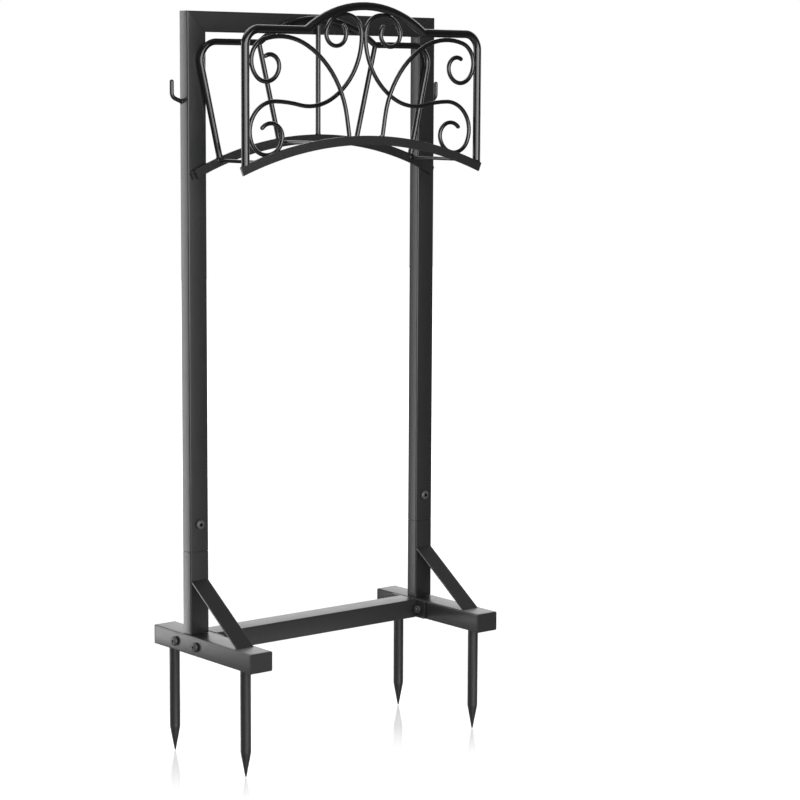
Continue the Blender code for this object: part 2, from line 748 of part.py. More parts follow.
def arch_scroll_path():
    """The rod that rises from the saddle, touches the shoulder and the leg, and curls in."""
    landing = strip_arc(FRONT_STRIP_RADIUS, STRIP_HEIGHT / 2 + SEAT)
    beside = beside_hoop(ARCH_SCROLL_PLANE)
    moves = [ARCH_SCROLL_STEM] + [(radius, radians(turn)) for radius, turn in ARCH_SCROLL_ARCS]
    points = follow((0.0, 0.0), ARCH_SCROLL_HEADING, moves)
    points = spread(points, ARCH_SCROLL_OFFSET, POST_X - beside, 0)
    return spread(points, landing.height(ARCH_SCROLL_OFFSET), FRONT_SHOULDER - beside, 1)


def s_scroll_path():
    """The rod that curls under the arch, swings out to the leg and curls behind the strip."""
    moves = [(radius, radians(turn)) for radius, turn in S_SCROLL_ARCS]
    points = follow((0.0, 0.0), S_SCROLL_HEADING, moves)
    beside = beside_hoop(S_SCROLL_PLANE)
    points = spread(points, (SCROLL_BAR + SEAT) / 2, POST_X - beside - S_SCROLL_SHORTFALL, 0)
    arch = Arc(FRONT_SHOULDER + ARCH_RISE - ARCH_RADIUS, ARCH_RADIUS - beside)
    saddle = strip_arc(FRONT_STRIP_RADIUS, STRIP_HEIGHT / 2 - S_SCROLL_TUCK)
    low, high = SADDLE_CROWN, FRONT_SHOULDER
    for _ in range(FITTING_ROUNDS):
        points = spread(points, low, high, 1)
        under_arch = [p for p in points if p[0] < ARCH_HALF_CHORD and p[1] > FRONT_SHOULDER - FRONT_DROP]
        high += min(arch.radius - arch.distance(p) for p in under_arch)
        low -= min(saddle.distance(p) - saddle.radius for p in points)
    return spread(points, low, high, 1)


def make_scrolls(material):
    """The two scrolls of each side; the arch scrolls pass in front of the S scrolls."""
    arch_path = arch_scroll_path()
    s_path = s_scroll_path()
    landing = strip_arc(FRONT_STRIP_RADIUS, STRIP_HEIGHT / 2 + SEAT)
    for side, sign in SIDES:
        cut = landing.normal(arch_path[0])
        cut.x *= sign
        name = f"arch_scroll_{side}"
        path = in_plane(arch_path, ARCH_SCROLL_PLANE, sign)
        rod(name, path, SCROLL_BAR, THIN_BAR_SIDES, material, start_cut=cut, round_ends=(1,))
        path = in_plane(s_path, S_SCROLL_PLANE, sign)
        rod(f"s_scroll_{side}", path, SCROLL_BAR, THIN_BAR_SIDES, material, round_ends=(0, 1))


def make_spacers(material):
    """The packing plates that the rear strip's ends are welded to, on the posts' front faces."""
    outline = rounded_rectangle(SPACER_WIDTH, STRIP_HEIGHT, SPACER_CORNER)
    tilt = asin(POST_X / REAR_STRIP_RADIUS)
    height = strip_arc(REAR_STRIP_RADIUS).height(POST_X)
    for side, sign in SIDES:
        upright = Matrix.Rotation(sign * tilt, 4, "Y") @ Matrix.Rotation(pi / 2, 4, "X")
        placing = Matrix.Translation((sign * POST_X, SPACER_PLANE, height)) @ upright
        plate(f"hanger_spacer_{side}", outline, SPACER_THICKNESS, placing, material)


def make_tool_hooks(material):
    """A small upturned hook on the outer face of each post."""
    root = (POST_X + POST_WIDTH / 2 + SEAT, FRAME_HEIGHT - HOOK_DROP)
    moves = (HOOK_REACH, (HOOK_BEND, pi / 2 - HOOK_SLOPE), HOOK_RISE)
    path = follow(root, HOOK_SLOPE, moves)
    for side, sign in SIDES:
        name = f"tool_hook_{side}"
        points = in_plane(path, HOOK_SETBACK, sign)
        rod(name, points, HOOK_BAR, THIN_BAR_SIDES, material, start_cut=Vector((1, 0, 0)), round_ends=(1,))


def build():
    """Makes every piece of the stand."""
    for item in list(bpy.data.objects):
        bpy.data.objects.remove(item, do_unlink=True)
    tube_coat = coated_steel("black_powder_coat", 0.030, 0.38)
    bar_coat = coated_steel("gloss_black_coat", 0.018, 0.26)
    dark_steel = coated_steel("black_fastener_steel", 0.022, 0.42)

    make_rail(tube_coat)
    make_crossbar(tube_coat)
    for side, sign in SIDES:
        make_post(side, sign, tube_coat)
        make_foot(side, sign, tube_coat)
        make_brace(side, sign, tube_coat)
    make_fasteners(dark_steel)

    make_front_hoop(bar_coat)
    make_back_hoop(bar_coat)
    make_scrolls(bar_coat)
    make_saddle(tube_coat)
    make_spacers(tube_coat)
    make_tool_hooks(bar_coat)


build()
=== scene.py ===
"""The finished look of a garden hose stand in black coated steel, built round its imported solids.

Metres, +Z up, in the frame of the solids: the ground is z = 0, the posts stand in the plane y = 0
and the hanger reaches out towards -Y. The spikes reach below the ground and stand on the studio floor.
"""
import logging
from dataclasses import dataclass
from enum import Enum
from math import acos, asin, atan2, ceil, cos, hypot, pi, radians, sin, sqrt
from typing import Any, Callable, Optional, Sequence, Union

import bpy
from mathutils import Matrix, Vector


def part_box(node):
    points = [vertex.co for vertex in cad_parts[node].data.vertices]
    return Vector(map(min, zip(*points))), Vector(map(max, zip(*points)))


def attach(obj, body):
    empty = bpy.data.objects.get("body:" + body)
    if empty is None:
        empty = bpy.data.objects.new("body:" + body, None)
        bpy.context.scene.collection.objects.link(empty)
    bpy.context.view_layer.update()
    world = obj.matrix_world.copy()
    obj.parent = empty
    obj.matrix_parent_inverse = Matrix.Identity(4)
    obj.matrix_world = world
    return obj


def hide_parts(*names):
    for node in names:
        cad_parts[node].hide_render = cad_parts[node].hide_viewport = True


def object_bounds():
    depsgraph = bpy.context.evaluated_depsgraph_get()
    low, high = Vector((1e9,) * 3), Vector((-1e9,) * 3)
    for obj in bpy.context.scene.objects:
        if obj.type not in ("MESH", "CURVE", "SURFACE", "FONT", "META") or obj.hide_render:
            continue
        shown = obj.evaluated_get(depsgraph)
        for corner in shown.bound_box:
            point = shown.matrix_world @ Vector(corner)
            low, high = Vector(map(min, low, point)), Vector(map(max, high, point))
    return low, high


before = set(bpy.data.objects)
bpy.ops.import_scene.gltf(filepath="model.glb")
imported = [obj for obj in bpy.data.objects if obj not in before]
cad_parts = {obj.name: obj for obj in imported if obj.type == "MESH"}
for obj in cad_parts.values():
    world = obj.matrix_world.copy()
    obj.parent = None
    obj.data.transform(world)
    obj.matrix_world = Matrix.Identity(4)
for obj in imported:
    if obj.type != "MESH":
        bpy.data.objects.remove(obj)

CAD_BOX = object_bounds()
BODY = "root"
log = logging.getLogger("hose_stand")

Point = Sequence[float]
Range = tuple[float, float]  # where a step starts and where it ends
MIRROR = Matrix.Scale(-1.0, 4, (1.0, 0.0, 0.0))  # to the other side of the stand
RIGHTWARDS = Vector((1.0, 0.0, 0.0))
REARWARDS = Vector((0.0, 1.0, 0.0))
UPWARDS = Vector((0.0, 0.0, 1.0))
SAME_PLACE = 1e-6  # places closer than this are the same
FACING = 0.9  # cosine from which a face counts as square to a direction


class Slot(Enum):
    """The material slots of the record."""

    TUBE = "tube_coat"
    BAR = "bar_coat"
    FASTENER = "fastener"


class Side(Enum):
    """The two sides of the stand, as a direction along X."""

    LEFT = -1
    RIGHT = 1


class Cap(Enum):
    """How the end of a bar is closed."""

    FLAT = "flat"
    DOMED = "domed"


@dataclass(frozen=True)
class Span:
    """The box that a node of the frame fills."""

    low: Vector
    high: Vector

    @classmethod
    def of(cls, node: str) -> "Span":
        """Reads a node's box."""
        low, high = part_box(node)
        return cls(low, high)

    @property
    def centre(self) -> Vector:
        """The middle of the box."""
        return (self.low + self.high) / 2

    @property
    def size(self) -> Vector:
        """The box's three edges."""
        return self.high - self.low


# Materials


class Signal:
    """A value or colour in a shader; arithmetic on it adds Math nodes."""

    def __init__(self, shader: "Shader", socket: bpy.types.NodeSocket) -> None:
        """Wraps an output socket."""
        self.shader = shader
        self.socket = socket

    def _math(self, operation: str, first: Any, second: Any) -> "Signal":
        """Adds one Math node of an operation on two values."""
        return self.shader.node("ShaderNodeMath", {"operation": operation}, {0: first, 1: second})

    def __add__(self, other: Any) -> "Signal":
        """Sum."""
        return self._math("ADD", self, other)

    def __radd__(self, other: Any) -> "Signal":
        """Sum, reflected."""
        return self._math("ADD", other, self)

    def __sub__(self, other: Any) -> "Signal":
        """Difference."""
        return self._math("SUBTRACT", self, other)

    def __rsub__(self, other: Any) -> "Signal":
        """Difference, reflected."""
        return self._math("SUBTRACT", other, self)

    def __mul__(self, other: Any) -> "Signal":
        """Product."""
        return self._math("MULTIPLY", self, other)

    def __rmul__(self, other: Any) -> "Signal":
        """Product, reflected."""
        return self._math("MULTIPLY", other, self)

    def between(self, low: float, high: float) -> "Signal":
        """A smooth step from 0 at low to 1 at high."""
        settings = {"interpolation_type": "SMOOTHSTEP"}
        return self.shader.node("ShaderNodeMapRange", settings, {0: self, 1: low, 2: high})


class Shader:
    """Builds the nodes of one material or world."""

    def __init__(self, tree: bpy.types.NodeTree) -> None:
        """Starts on a node tree."""
        self.tree = tree

    def put(self, target: bpy.types.NodeSocket, value: Any) -> None:
        """Sets an input, or links a signal to it.

        Args:
            target: The input socket.
            value: A signal, a number or a sequence of numbers.
        """
        if isinstance(value, Signal):
            self.tree.links.new(value.socket, target)
        else:
            target.default_value = value

    def node(
        self,
        kind: str,
        settings: Optional[dict] = None,
        inputs: Optional[dict] = None,
        output: Union[int, str] = 0,
    ) -> Signal:
        """Adds a node.

        Args:
            kind: The node's type.
            settings: Its settings, which are set first.
            inputs: Values or signals by the inputs' names or numbers.
            output: The output that is wanted.

        Returns:
            The signal of that output.
        """
        node = self.tree.nodes.new(kind)
        for key, value in (settings or {}).items():
            setattr(node, key, value)
        for key, value in (inputs or {}).items():
            self.put(node.inputs[key], value)
        return Signal(self, node.outputs[output])

    def noise(self, coordinates: Signal, scale: float, detail: float = 2.0) -> Signal:
        """Smooth noise from 0 to 1."""
        inputs = {"Vector": coordinates, "Scale": scale, "Detail": detail}
        return self.node("ShaderNodeTexNoise", None, inputs, "Fac")

    def stretched(self, coordinates: Signal, scale: Point) -> Signal:
        """Coordinates scaled by a different amount along each axis."""
        return self.node("ShaderNodeMapping", None, {"Vector": coordinates, "Scale": scale})

    def blend(self, share: Signal, first: Any, second: Any) -> Signal:
        """Mixes two colours."""
        settings = {"data_type": "RGBA"}
        return self.node("ShaderNodeMix", settings, {0: share, 6: first, 7: second}, 2)

    def bump(
        self, height: Signal, strength: float, distance: float, under: Optional[Signal] = None
    ) -> Signal:
        """Raises the surface by a height.

        Args:
            height: The height, 0 to 1.
            strength: How much of the bump shows.
            distance: The real height of 1, in metres.
            under: Another bump beneath this one.

        Returns:
            The bent normal.
        """
        inputs = {"Height": height, "Strength": strength, "Distance": distance}
        if under is not None:
            inputs["Normal"] = under
        return self.node("ShaderNodeBump", None, inputs)


@dataclass(frozen=True)
class CoatedSteel:
    """Steel under a black coat, with a faint peel, hazy patches and worn edges."""

    name: str
    slot: Slot
    colour: tuple[float, float, float]
    worn_colour: tuple[float, float, float]
    roughness: float
    haze: float  # how far the roughness wanders each way
    specular: float = 0.5
    clear_coat: float = 0.0
    clear_roughness: float = 0.12
    metallic: float = 0.0
    peel_scale: float = 520.0  # lumps in each metre
    peel_height: float = 0.00005
    grain_scale: float = 2600.0
    grain_height: float = 0.000018
    edge_radius: float = 0.0006
    edge_wear: float = 0.35
    scratches: float = 0.35
    tone_scale: float = 11.0
    tone_range: Range = (0.30, 0.70)
    patch_scale: float = 46.0
    patch_range: Range = (0.45, 0.75)
    lighter: float = 1.35  # the coat's colour where the tone drifts up
    darker: float = 0.72  # the coat's colour in its patches
    rub: Range = (0.004, 0.06)  # how much an edge bends the surface where it is worn
    rub_gate: Range = (0.35, 0.62)
    bump_share: float = 0.8
    scratch_depth: float = 0.00001
    upright_marks: Point = (900.0, 900.0, 16.0)  # how close the marks lie along each axis
    upright_range: Range = (0.70, 0.76)
    level_marks: Point = (22.0, 22.0, 1100.0)
    level_range: Range = (0.71, 0.77)
    gate_scale: float = 30.0
    gate_range: Range = (0.56, 0.70)

    def material(self) -> bpy.types.Material:
        """Makes the material.

        Returns:
            The finished material.
        """
        material = bpy.data.materials.new(self.name)
        material.use_nodes = True
        shader = Shader(material.node_tree)
        surface = material.node_tree.nodes["Principled BSDF"]
        place = shader.node("ShaderNodeTexCoord", output="Object")
        tone = shader.noise(place, self.tone_scale, 3.0)
        patches = shader.noise(place, self.patch_scale, 4.0)
        wear = self._edge_mask(shader, patches)
        marks = self._scratch_mask(shader, place)
        shade = shader.blend(tone.between(*self.tone_range) * 0.5, self._tint(1.0), self._tint(self.lighter))
        shade = shader.blend(patches.between(*self.patch_range) * 0.35, shade, self._tint(self.darker))
        shade = shader.blend(marks * self.scratches * 0.5, shade, self.worn_colour + (1.0,))
        shade = shader.blend(wear * self.edge_wear, shade, self.worn_colour + (1.0,))
        shader.put(surface.inputs["Base Color"], shade)
        rough = self.roughness + (patches - 0.5) * (2.0 * self.haze) + marks * (self.scratches * 0.12)
        shader.put(surface.inputs["Roughness"], rough - wear * 0.06)
        surface.inputs["Specular IOR Level"].default_value = self.specular
        surface.inputs["Metallic"].default_value = self.metallic
        surface.inputs["Coat Weight"].default_value = self.clear_coat
        surface.inputs["Coat Roughness"].default_value = self.clear_roughness
        fine = shader.noise(place, self.grain_scale, 1.0)
        lumps = shader.noise(place, self.peel_scale, 2.0)
        grain = shader.bump(fine, self.bump_share, self.grain_height)
        peel = shader.bump(lumps, self.bump_share, self.peel_height, grain)
        scratched = shader.bump(1.0 - marks, self.scratches, self.scratch_depth, peel)
        shader.put(surface.inputs["Normal"], scratched)
        return material

    def _tint(self, level: float) -> tuple[float, float, float, float]:
        """The coat's colour made lighter or darker."""
        red, green, blue = self.colour
        return (red * level, green * level, blue * level, 1.0)

    def _edge_mask(self, shader: Shader, patches: Signal) -> Signal:
        """Where the coat is rubbed thin along the edges.

        Args:
            shader: The shader in the making.
            patches: Noise that breaks the wear up.

        Returns:
            The wear, 0 to 1.
        """
        rounded = shader.node("ShaderNodeBevel", {"samples": 4}, {"Radius": self.edge_radius})
        flat = shader.node("ShaderNodeNewGeometry", output="Normal")
        inputs = {0: rounded, 1: flat}
        facing = shader.node("ShaderNodeVectorMath", {"operation": "DOT_PRODUCT"}, inputs, "Value")
        return (1.0 - facing).between(*self.rub) * patches.between(*self.rub_gate)

    def _scratch_mask(self, shader: Shader, place: Signal) -> Signal:
        """Fine hairline marks in two directions.

        Args:
            shader: The shader in the making.
            place: The object's coordinates.

        Returns:
            The marks, 0 to 1.
        """
        upright = shader.noise(shader.stretched(place, self.upright_marks), 1.0, 1.0)
        level = shader.noise(shader.stretched(place, self.level_marks), 1.0, 1.0)
        gate = shader.noise(place, self.gate_scale, 2.0).between(*self.gate_range)
        return (upright.between(*self.upright_range) + level.between(*self.level_range)) * gate


class Palette:
    """The stand's three finishes, each made once."""

    FINISHES = (
        CoatedSteel(
            name="satin_powder_coat",
            slot=Slot.TUBE,
            colour=(0.0095, 0.0097, 0.0096),
            worn_colour=(0.055, 0.055, 0.056),
            roughness=0.36,
            haze=0.045,
            clear_coat=0.25,
            clear_roughness=0.30,
        ),
        CoatedSteel(
            name="gloss_black_coat",
            slot=Slot.BAR,
            colour=(0.0040, 0.0041, 0.0041),
            worn_colour=(0.040, 0.040, 0.041),
            roughness=0.17,
            haze=0.03,
            clear_coat=0.3,
            clear_roughness=0.12,
            peel_height=0.000014,
            grain_height=0.000003,
            scratches=0.25,
        ),
        CoatedSteel(
            name="black_oxide_steel",
            slot=Slot.FASTENER,
            colour=(0.060, 0.060, 0.059),
            worn_colour=(0.160, 0.158, 0.155),
            roughness=0.44,
            haze=0.06,
            metallic=0.35,
            peel_scale=900.0,
            peel_height=0.000012,
            edge_radius=0.0005,
            edge_wear=0.7,
        ),
    )

    def __init__(self) -> None:
        """Makes the materials."""
        self.by_slot = {finish.slot: finish.material() for finish in self.FINISHES}


# Modelling


class Bench:
    """Edit-mode work on the piece in hand."""

    @staticmethod
    def clear() -> None:
        """Leaves edit mode and selects nothing."""
        if bpy.context.object:
            Bench.leave()
        bpy.ops.object.select_all(action="DESELECT")

    @staticmethod
    def take(piece: bpy.types.Object) -> None:
        """Takes one piece in hand.

        Args:
            piece: The piece.
        """
        Bench.clear()
        piece.select_set(True)
        bpy.context.view_layer.objects.active = piece

    @staticmethod
    def edit(whole: bool = False) -> None:
        """Enters edit mode by vertices.

        Args:
            whole: Whether the whole piece is selected, and not nothing.
        """
        bpy.ops.object.mode_set(mode="EDIT")
        bpy.ops.mesh.select_mode(type="VERT")
        bpy.ops.mesh.select_all(action="SELECT" if whole else "DESELECT")

    @staticmethod
    def leave() -> None:
        """Leaves edit mode."""
        if bpy.context.object.mode != "OBJECT":
            bpy.ops.object.mode_set(mode="OBJECT")

    @staticmethod
    def apply() -> None:
        """Leaves edit mode and writes the object's place into its mesh."""
        Bench.leave()
        bpy.ops.object.transform_apply(location=True, rotation=True, scale=True)

    @staticmethod
    def select(kind: str, test: Callable[[Any], bool]) -> None:
        """Selects vertices, edges or faces of the mesh in edit mode.

        Args:
            kind: "VERT", "EDGE" or "FACE".
            test: Says whether an element is selected.
        """
        bpy.ops.mesh.select_mode(type=kind)
        bpy.ops.mesh.select_all(action="DESELECT")
        bpy.ops.object.mode_set(mode="OBJECT")
        mesh = bpy.context.object.data
        elements = {"VERT": mesh.vertices, "EDGE": mesh.edges, "FACE": mesh.polygons}[kind]
        for element in elements:
            element.select = test(element)
        bpy.ops.object.mode_set(mode="EDIT")

    @staticmethod
    def block(centre: Point, size: Point, rotation: Point = (0.0, 0.0, 0.0)) -> None:
        """Starts a piece as a block at its size and place, open in edit mode.

        Args:
            centre: Its middle.
            size: Its edges.
            rotation: Its turn about X, Y and Z.
        """
        Bench.clear()
        bpy.ops.mesh.primitive_cube_add(size=1.0, location=centre, rotation=rotation, scale=size)
        Bench.apply()
        Bench.edit()

    @staticmethod
    def ring(sides: int, radius: float, centre: Point, heading: Vector) -> None:
        """Starts a piece as a ring square to a direction, all selected in edit mode.

        Args:
            sides: How many sides it has.
            radius: Its radius.
            centre: Its middle.
            heading: The direction it faces.
        """
        Bench.clear()
        turn = heading.to_track_quat("Z", "Y").to_euler()
        bpy.ops.mesh.primitive_circle_add(
            vertices=sides, radius=radius, fill_type="NOTHING", location=centre, rotation=turn
        )
        Bench.apply()
        Bench.edit(whole=True)

    @staticmethod
    def lathe(
        profile: Sequence[tuple[float, float]], width: float, height: float, x: float = 0.0, y: float = 0.0
    ) -> None:
        """Draws the selected ring through a profile about an upright axis.

        Args:
            profile: Pairs of radius and height.
            width: The ring's radius.
            height: The ring's height.
            x: The axis's place from side to side.
            y: The axis's place from front to rear.
        """
        for reach, level in profile:
            move = (0.0, 0.0, level - height)
            bpy.ops.mesh.extrude_region_move(TRANSFORM_OT_translate={"value": move})
            scale = reach / width
            bpy.ops.transform.resize(value=(scale, scale, 1.0), center_override=(x, y, level))
            width, height = reach, level

    @staticmethod
    def bevel_edges(along: Vector, width: float, segments: int, tolerance: float = 0.02) -> None:
        """Rounds the edges that run along a direction.

        Args:
            along: The direction.
            width: The radius.
            segments: The faces across each rounded edge.
            tolerance: How far an edge may lean from the direction.
        """
        mesh = bpy.context.object.data

        def runs_along(edge: bpy.types.MeshEdge) -> bool:
            first, second = (mesh.vertices[i].co for i in edge.vertices)
            run = second - first
            return run.length > 0 and abs(run.normalized().dot(along)) > 1 - tolerance

        Bench.select("EDGE", runs_along)
        bpy.ops.mesh.bevel(offset=width, segments=segments, profile=0.5, affect="EDGES")

    @staticmethod
    def drop_faces(test: Callable[[Any], bool]) -> None:
        """Deletes the faces that a test picks."""
        Bench.select("FACE", test)
        bpy.ops.mesh.delete(type="FACE")

    @staticmethod
    def cut(
        point: Point, normal: Point, trim: bool = True, part: Optional[Callable[[Any], bool]] = None
    ) -> None:
        """Cuts the piece in hand along a plane.

        Args:
            point: A point on the plane.
            normal: The side beyond the cut.
            trim: Whether what lies beyond goes and the cut is closed.
            part: Picks the vertices of the stretch that is cut, where that isn't the whole piece.
        """
        if part is None:
            bpy.ops.mesh.select_all(action="SELECT")
        else:
            Bench.select("VERT", part)
        side = Vector(normal).normalized()
        bpy.ops.mesh.bisect(
            plane_co=point, plane_no=side, use_fill=trim, clear_outer=trim, threshold=0.000001
        )

    @staticmethod
    def modify(kind: str, **settings: Any) -> None:
        """Adds a modifier to the piece in hand and applies it.

        Args:
            kind: The modifier's type.
            settings: Its settings.
        """
        Bench.leave()
        bpy.ops.object.modifier_add(type=kind)
        modifier = bpy.context.object.modifiers[-1]
        for key, value in settings.items():
            setattr(modifier, key, value)
        bpy.ops.object.modifier_apply(modifier=modifier.name)


@dataclass
class Workshop:
    """Hands finished pieces over to the frame."""

    MERGE = 0.000005  # vertices closer than this are one
    SHARP = radians(38)  # faces that meet at less than this are shaded as one surface

    palette: Palette
    count: int = 0

    def finish(self, name: str, slot: Slot, *nodes: str, flats: bool = False) -> bpy.types.Object:
        """Cleans, dresses and registers the piece in hand.

        Args:
            name: The piece's name.
            slot: The slot that it takes its finish from.
            nodes: The nodes that it stands for.
            flats: Whether it has flat faces between rounded edges.

        Returns:
            The finished piece.
        """
        if bpy.context.object.mode != "EDIT":
            bpy.ops.object.mode_set(mode="EDIT")
        bpy.ops.mesh.select_all(action="SELECT")
        bpy.ops.mesh.remove_doubles(threshold=self.MERGE)
        self._smooth(flats)
        piece = bpy.context.object
        piece.name = name
        piece.data.name = name
        self._register(piece, slot, nodes)
        return piece

    @staticmethod
    def _smooth(flats: bool) -> None:
        """Turns the faces of the piece in hand outwards and shades it.

        Args:
            flats: Whether it has flat faces between rounded edges.
        """
        bpy.ops.mesh.select_all(action="SELECT")
        bpy.ops.mesh.normals_make_consistent(inside=False)
        Bench.apply()
        bpy.ops.object.shade_smooth_by_angle(angle=Workshop.SHARP)
        if flats:
            Bench.modify("WEIGHTED_NORMAL", keep_sharp=True)

    def _register(self, piece: bpy.types.Object, slot: Slot, nodes: Sequence[str]) -> None:
        """Dresses a piece and ties it to the frame.

        Args:
            piece: The piece.
            slot: Its slot.
            nodes: The nodes that it stands for.
        """
        piece.data.materials.clear()
        piece.data.materials.append(self.palette.by_slot[slot])
        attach(piece, BODY)
        if nodes:
            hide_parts(*nodes)
        self.count += 1
        log.info("%s: %d faces", piece.name, len(piece.data.polygons))

    def copy(self, piece: bpy.types.Object, name: str, slot: Slot, move: Matrix, *nodes: str) -> None:
        """Copies a finished piece, with its own mesh, to another place.

        Args:
            piece: The piece to copy.
            name: The copy's name.
            slot: Its slot.
            move: The move from the piece's place to the copy's.
            nodes: The nodes that the copy stands for.
        """
        Bench.take(piece)
        bpy.ops.object.duplicate()
        twin = bpy.context.object
        twin.name = name
        twin.data.name = name
        twin.parent = None
        twin.matrix_world = move
        Bench.apply()
        if move.determinant() < 0:
            flats = twin.data.has_custom_normals
            if flats:
                bpy.ops.mesh.customdata_custom_splitnormals_clear()
            Bench.edit()
            self._smooth(flats)
        self._register(twin, slot, nodes)

    def mirror(self, piece: bpy.types.Object, name: str, slot: Slot, *nodes: str) -> None:
        """Copies a finished piece to the other side of the stand."""
        self.copy(piece, name, slot, MIRROR, *nodes)

    def pair(self, stem: str, slot: Slot, node: str, flats: bool = False) -> None:
        """Finishes the piece in hand as the right one of two, and mirrors it for the left."""
        piece = self.finish(f"{stem}_right", slot, f"{node}_right", flats=flats)
        self.mirror(piece, f"{stem}_left", slot, f"{node}_left")


class Bar:
    """A round bar drawn out along straight runs and bends, as on a bending jig."""

    CHORD = radians(5.0)
    LONGEST_STEP = 0.012
    DOME_RINGS = 5
    BREAK = 0.12  # how much of the radius a flat end's broken edge takes
    RIM = 0.51  # an end's rim lies closer to its middle than this share of the diameter
    FLUSH = 1e-5  # how far off the first end's plane its rim may lie

    def __init__(self, diameter: float, start: Point, heading: Point, plane: Point, sides: int = 28) -> None:
        """Cuts the bar's first end.

        Args:
            diameter: The bar's diameter.
            start: The middle of its first end.
            heading: The direction in which it sets off.
            plane: The normal of the plane it is bent in.
            sides: The sides of its section.
        """
        self.diameter = diameter
        self.at = Vector(start)
        self.heading = Vector(heading).normalized()
        self.plane = Vector(plane).normalized()
        self.start = self.at.copy()
        self.first_heading = self.heading.copy()
        Bench.ring(sides, diameter / 2, self.at, self.heading)

    def straight(self, length: float) -> "Bar":
        """Draws the bar straight on.

        Args:
            length: How far.

        Returns:
            The bar.
        """
        run = self.heading * length
        bpy.ops.mesh.extrude_region_move(TRANSFORM_OT_translate={"value": run})
        self.at = self.at + run
        return self

    def bend(self, radius: float, turn: float) -> "Bar":
        """Bends the bar; a positive turn is to the left seen along the plane's normal.

        Args:
            radius: The radius of the bar's middle.
            turn: The angle.

        Returns:
            The bar.
        """
        side = 1.0 if turn > 0 else -1.0
        centre = self.at + self.plane.cross(self.heading) * (side * radius)
        steps = max(2, ceil(abs(turn) / self.CHORD), ceil(abs(turn) * radius / self.LONGEST_STEP))
        bpy.ops.mesh.spin(steps=steps, angle=-turn, center=centre, axis=self.plane)
        rotation = Matrix.Rotation(turn, 3, self.plane)
        self.at = centre + rotation @ (self.at - centre)
        self.heading = rotation @ self.heading
        return self

    def _close(self, point: Vector, outward: Vector, cap: Cap) -> None:
        """Closes the end that is selected.

        Args:
            point: The middle of the end.
            outward: The direction out of the bar.
            cap: How it is closed.
        """
        radius = self.diameter / 2
        domed = cap is Cap.DOMED
        rings, steps = (self.DOME_RINGS, self.DOME_RINGS + 1) if domed else (1, 1)
        depth = radius if domed else radius * self.BREAK
        width = 0.0 if domed else radius * (1 - self.BREAK)
        travelled, share = 0.0, 1.0
        for ring in range(1, rings + 1):
            angle = pi / 2 * ring / steps
            painted_glow_patch = depth * sin(angle)
            wanted = (width + (radius - width) * cos(angle)) / radius
            step = outward * (painted_glow_patch - travelled)
            bpy.ops.mesh.extrude_region_move(TRANSFORM_OT_translate={"value": step})
            middle = point + outward * painted_glow_patch
            scale = wanted / share
            bpy.ops.transform.resize(value=(scale, scale, scale), center_override=middle)
            travelled, share = painted_glow_patch, wanted
        bpy.ops.mesh.edge_face_add()

    def close(self, first: Cap = Cap.FLAT, last: Cap = Cap.FLAT) -> "Bar":
        """Closes both ends.

        Args:
            first: How the first end is closed.
            last: How the last end is closed.

        Returns:
            The bar.
        """
        self._close(self.at, self.heading, last)
        start, back = self.start, -self.first_heading
        reach = self.diameter * self.RIM

        def on_first_end(vertex: bpy.types.MeshVertex) -> bool:
            offset = vertex.co - start
            return abs(offset.dot(back)) < Bar.FLUSH and offset.length < reach

        Bench.select("VERT", on_first_end)
        self._close(start, back, first)
        return self

    @staticmethod
    def fit(low: Vector, high: Vector) -> None:
        """Stretches the bar to fill a box across X and Z.

        Args:
            low: The box's lowest corner.
            high: Its highest corner.
        """
        Bench.apply()
        corners = [v.co.copy() for v in bpy.context.object.data.vertices]
        least = Vector([min(c[i] for c in corners) for i in range(3)])
        most = Vector([max(c[i] for c in corners) for i in range(3)])
        scale_x = (high.x - low.x) / (most.x - least.x)
        scale_z = (high.z - low.z) / (most.z - least.z)
        Bench.edit(whole=True)
        bpy.ops.transform.resize(value=(scale_x, 1.0, scale_z), center_override=least)
        bpy.ops.transform.translate(value=(low.x - least.x, 0.0, low.z - least.z))


@dataclass
class BoxTube:
    """Rectangular tube stock."""

    wall: float
    corner: float
    corner_steps: int = 6
    rim: float = 0.0006  # the ring of faces kept beside a mitre, so that the shading stays even

    def draw(self, span: Span, along: Vector, mitres: Sequence[tuple[Point, Point]] = ()) -> None:
        """Cuts a length of tube to a span.

        Args:
            span: The outside of the tube.
            along: The direction that it runs in.
            mitres: Planes that its ends are cut to, as a point and the side cut off.
        """
        Bench.block(span.centre, span.size)
        Bench.bevel_edges(along, self.corner, self.corner_steps)
        Bench.drop_faces(lambda face: abs(face.normal.dot(along)) > FACING)
        Bench.modify("SOLIDIFY", thickness=self.wall, offset=-1.0, use_even_offset=True)
        Bench.edit()
        for point, normal in mitres:
            inside = Vector(point) - Vector(normal).normalized() * self.rim
            Bench.cut(inside, normal, trim=False)
            Bench.cut(point, normal)


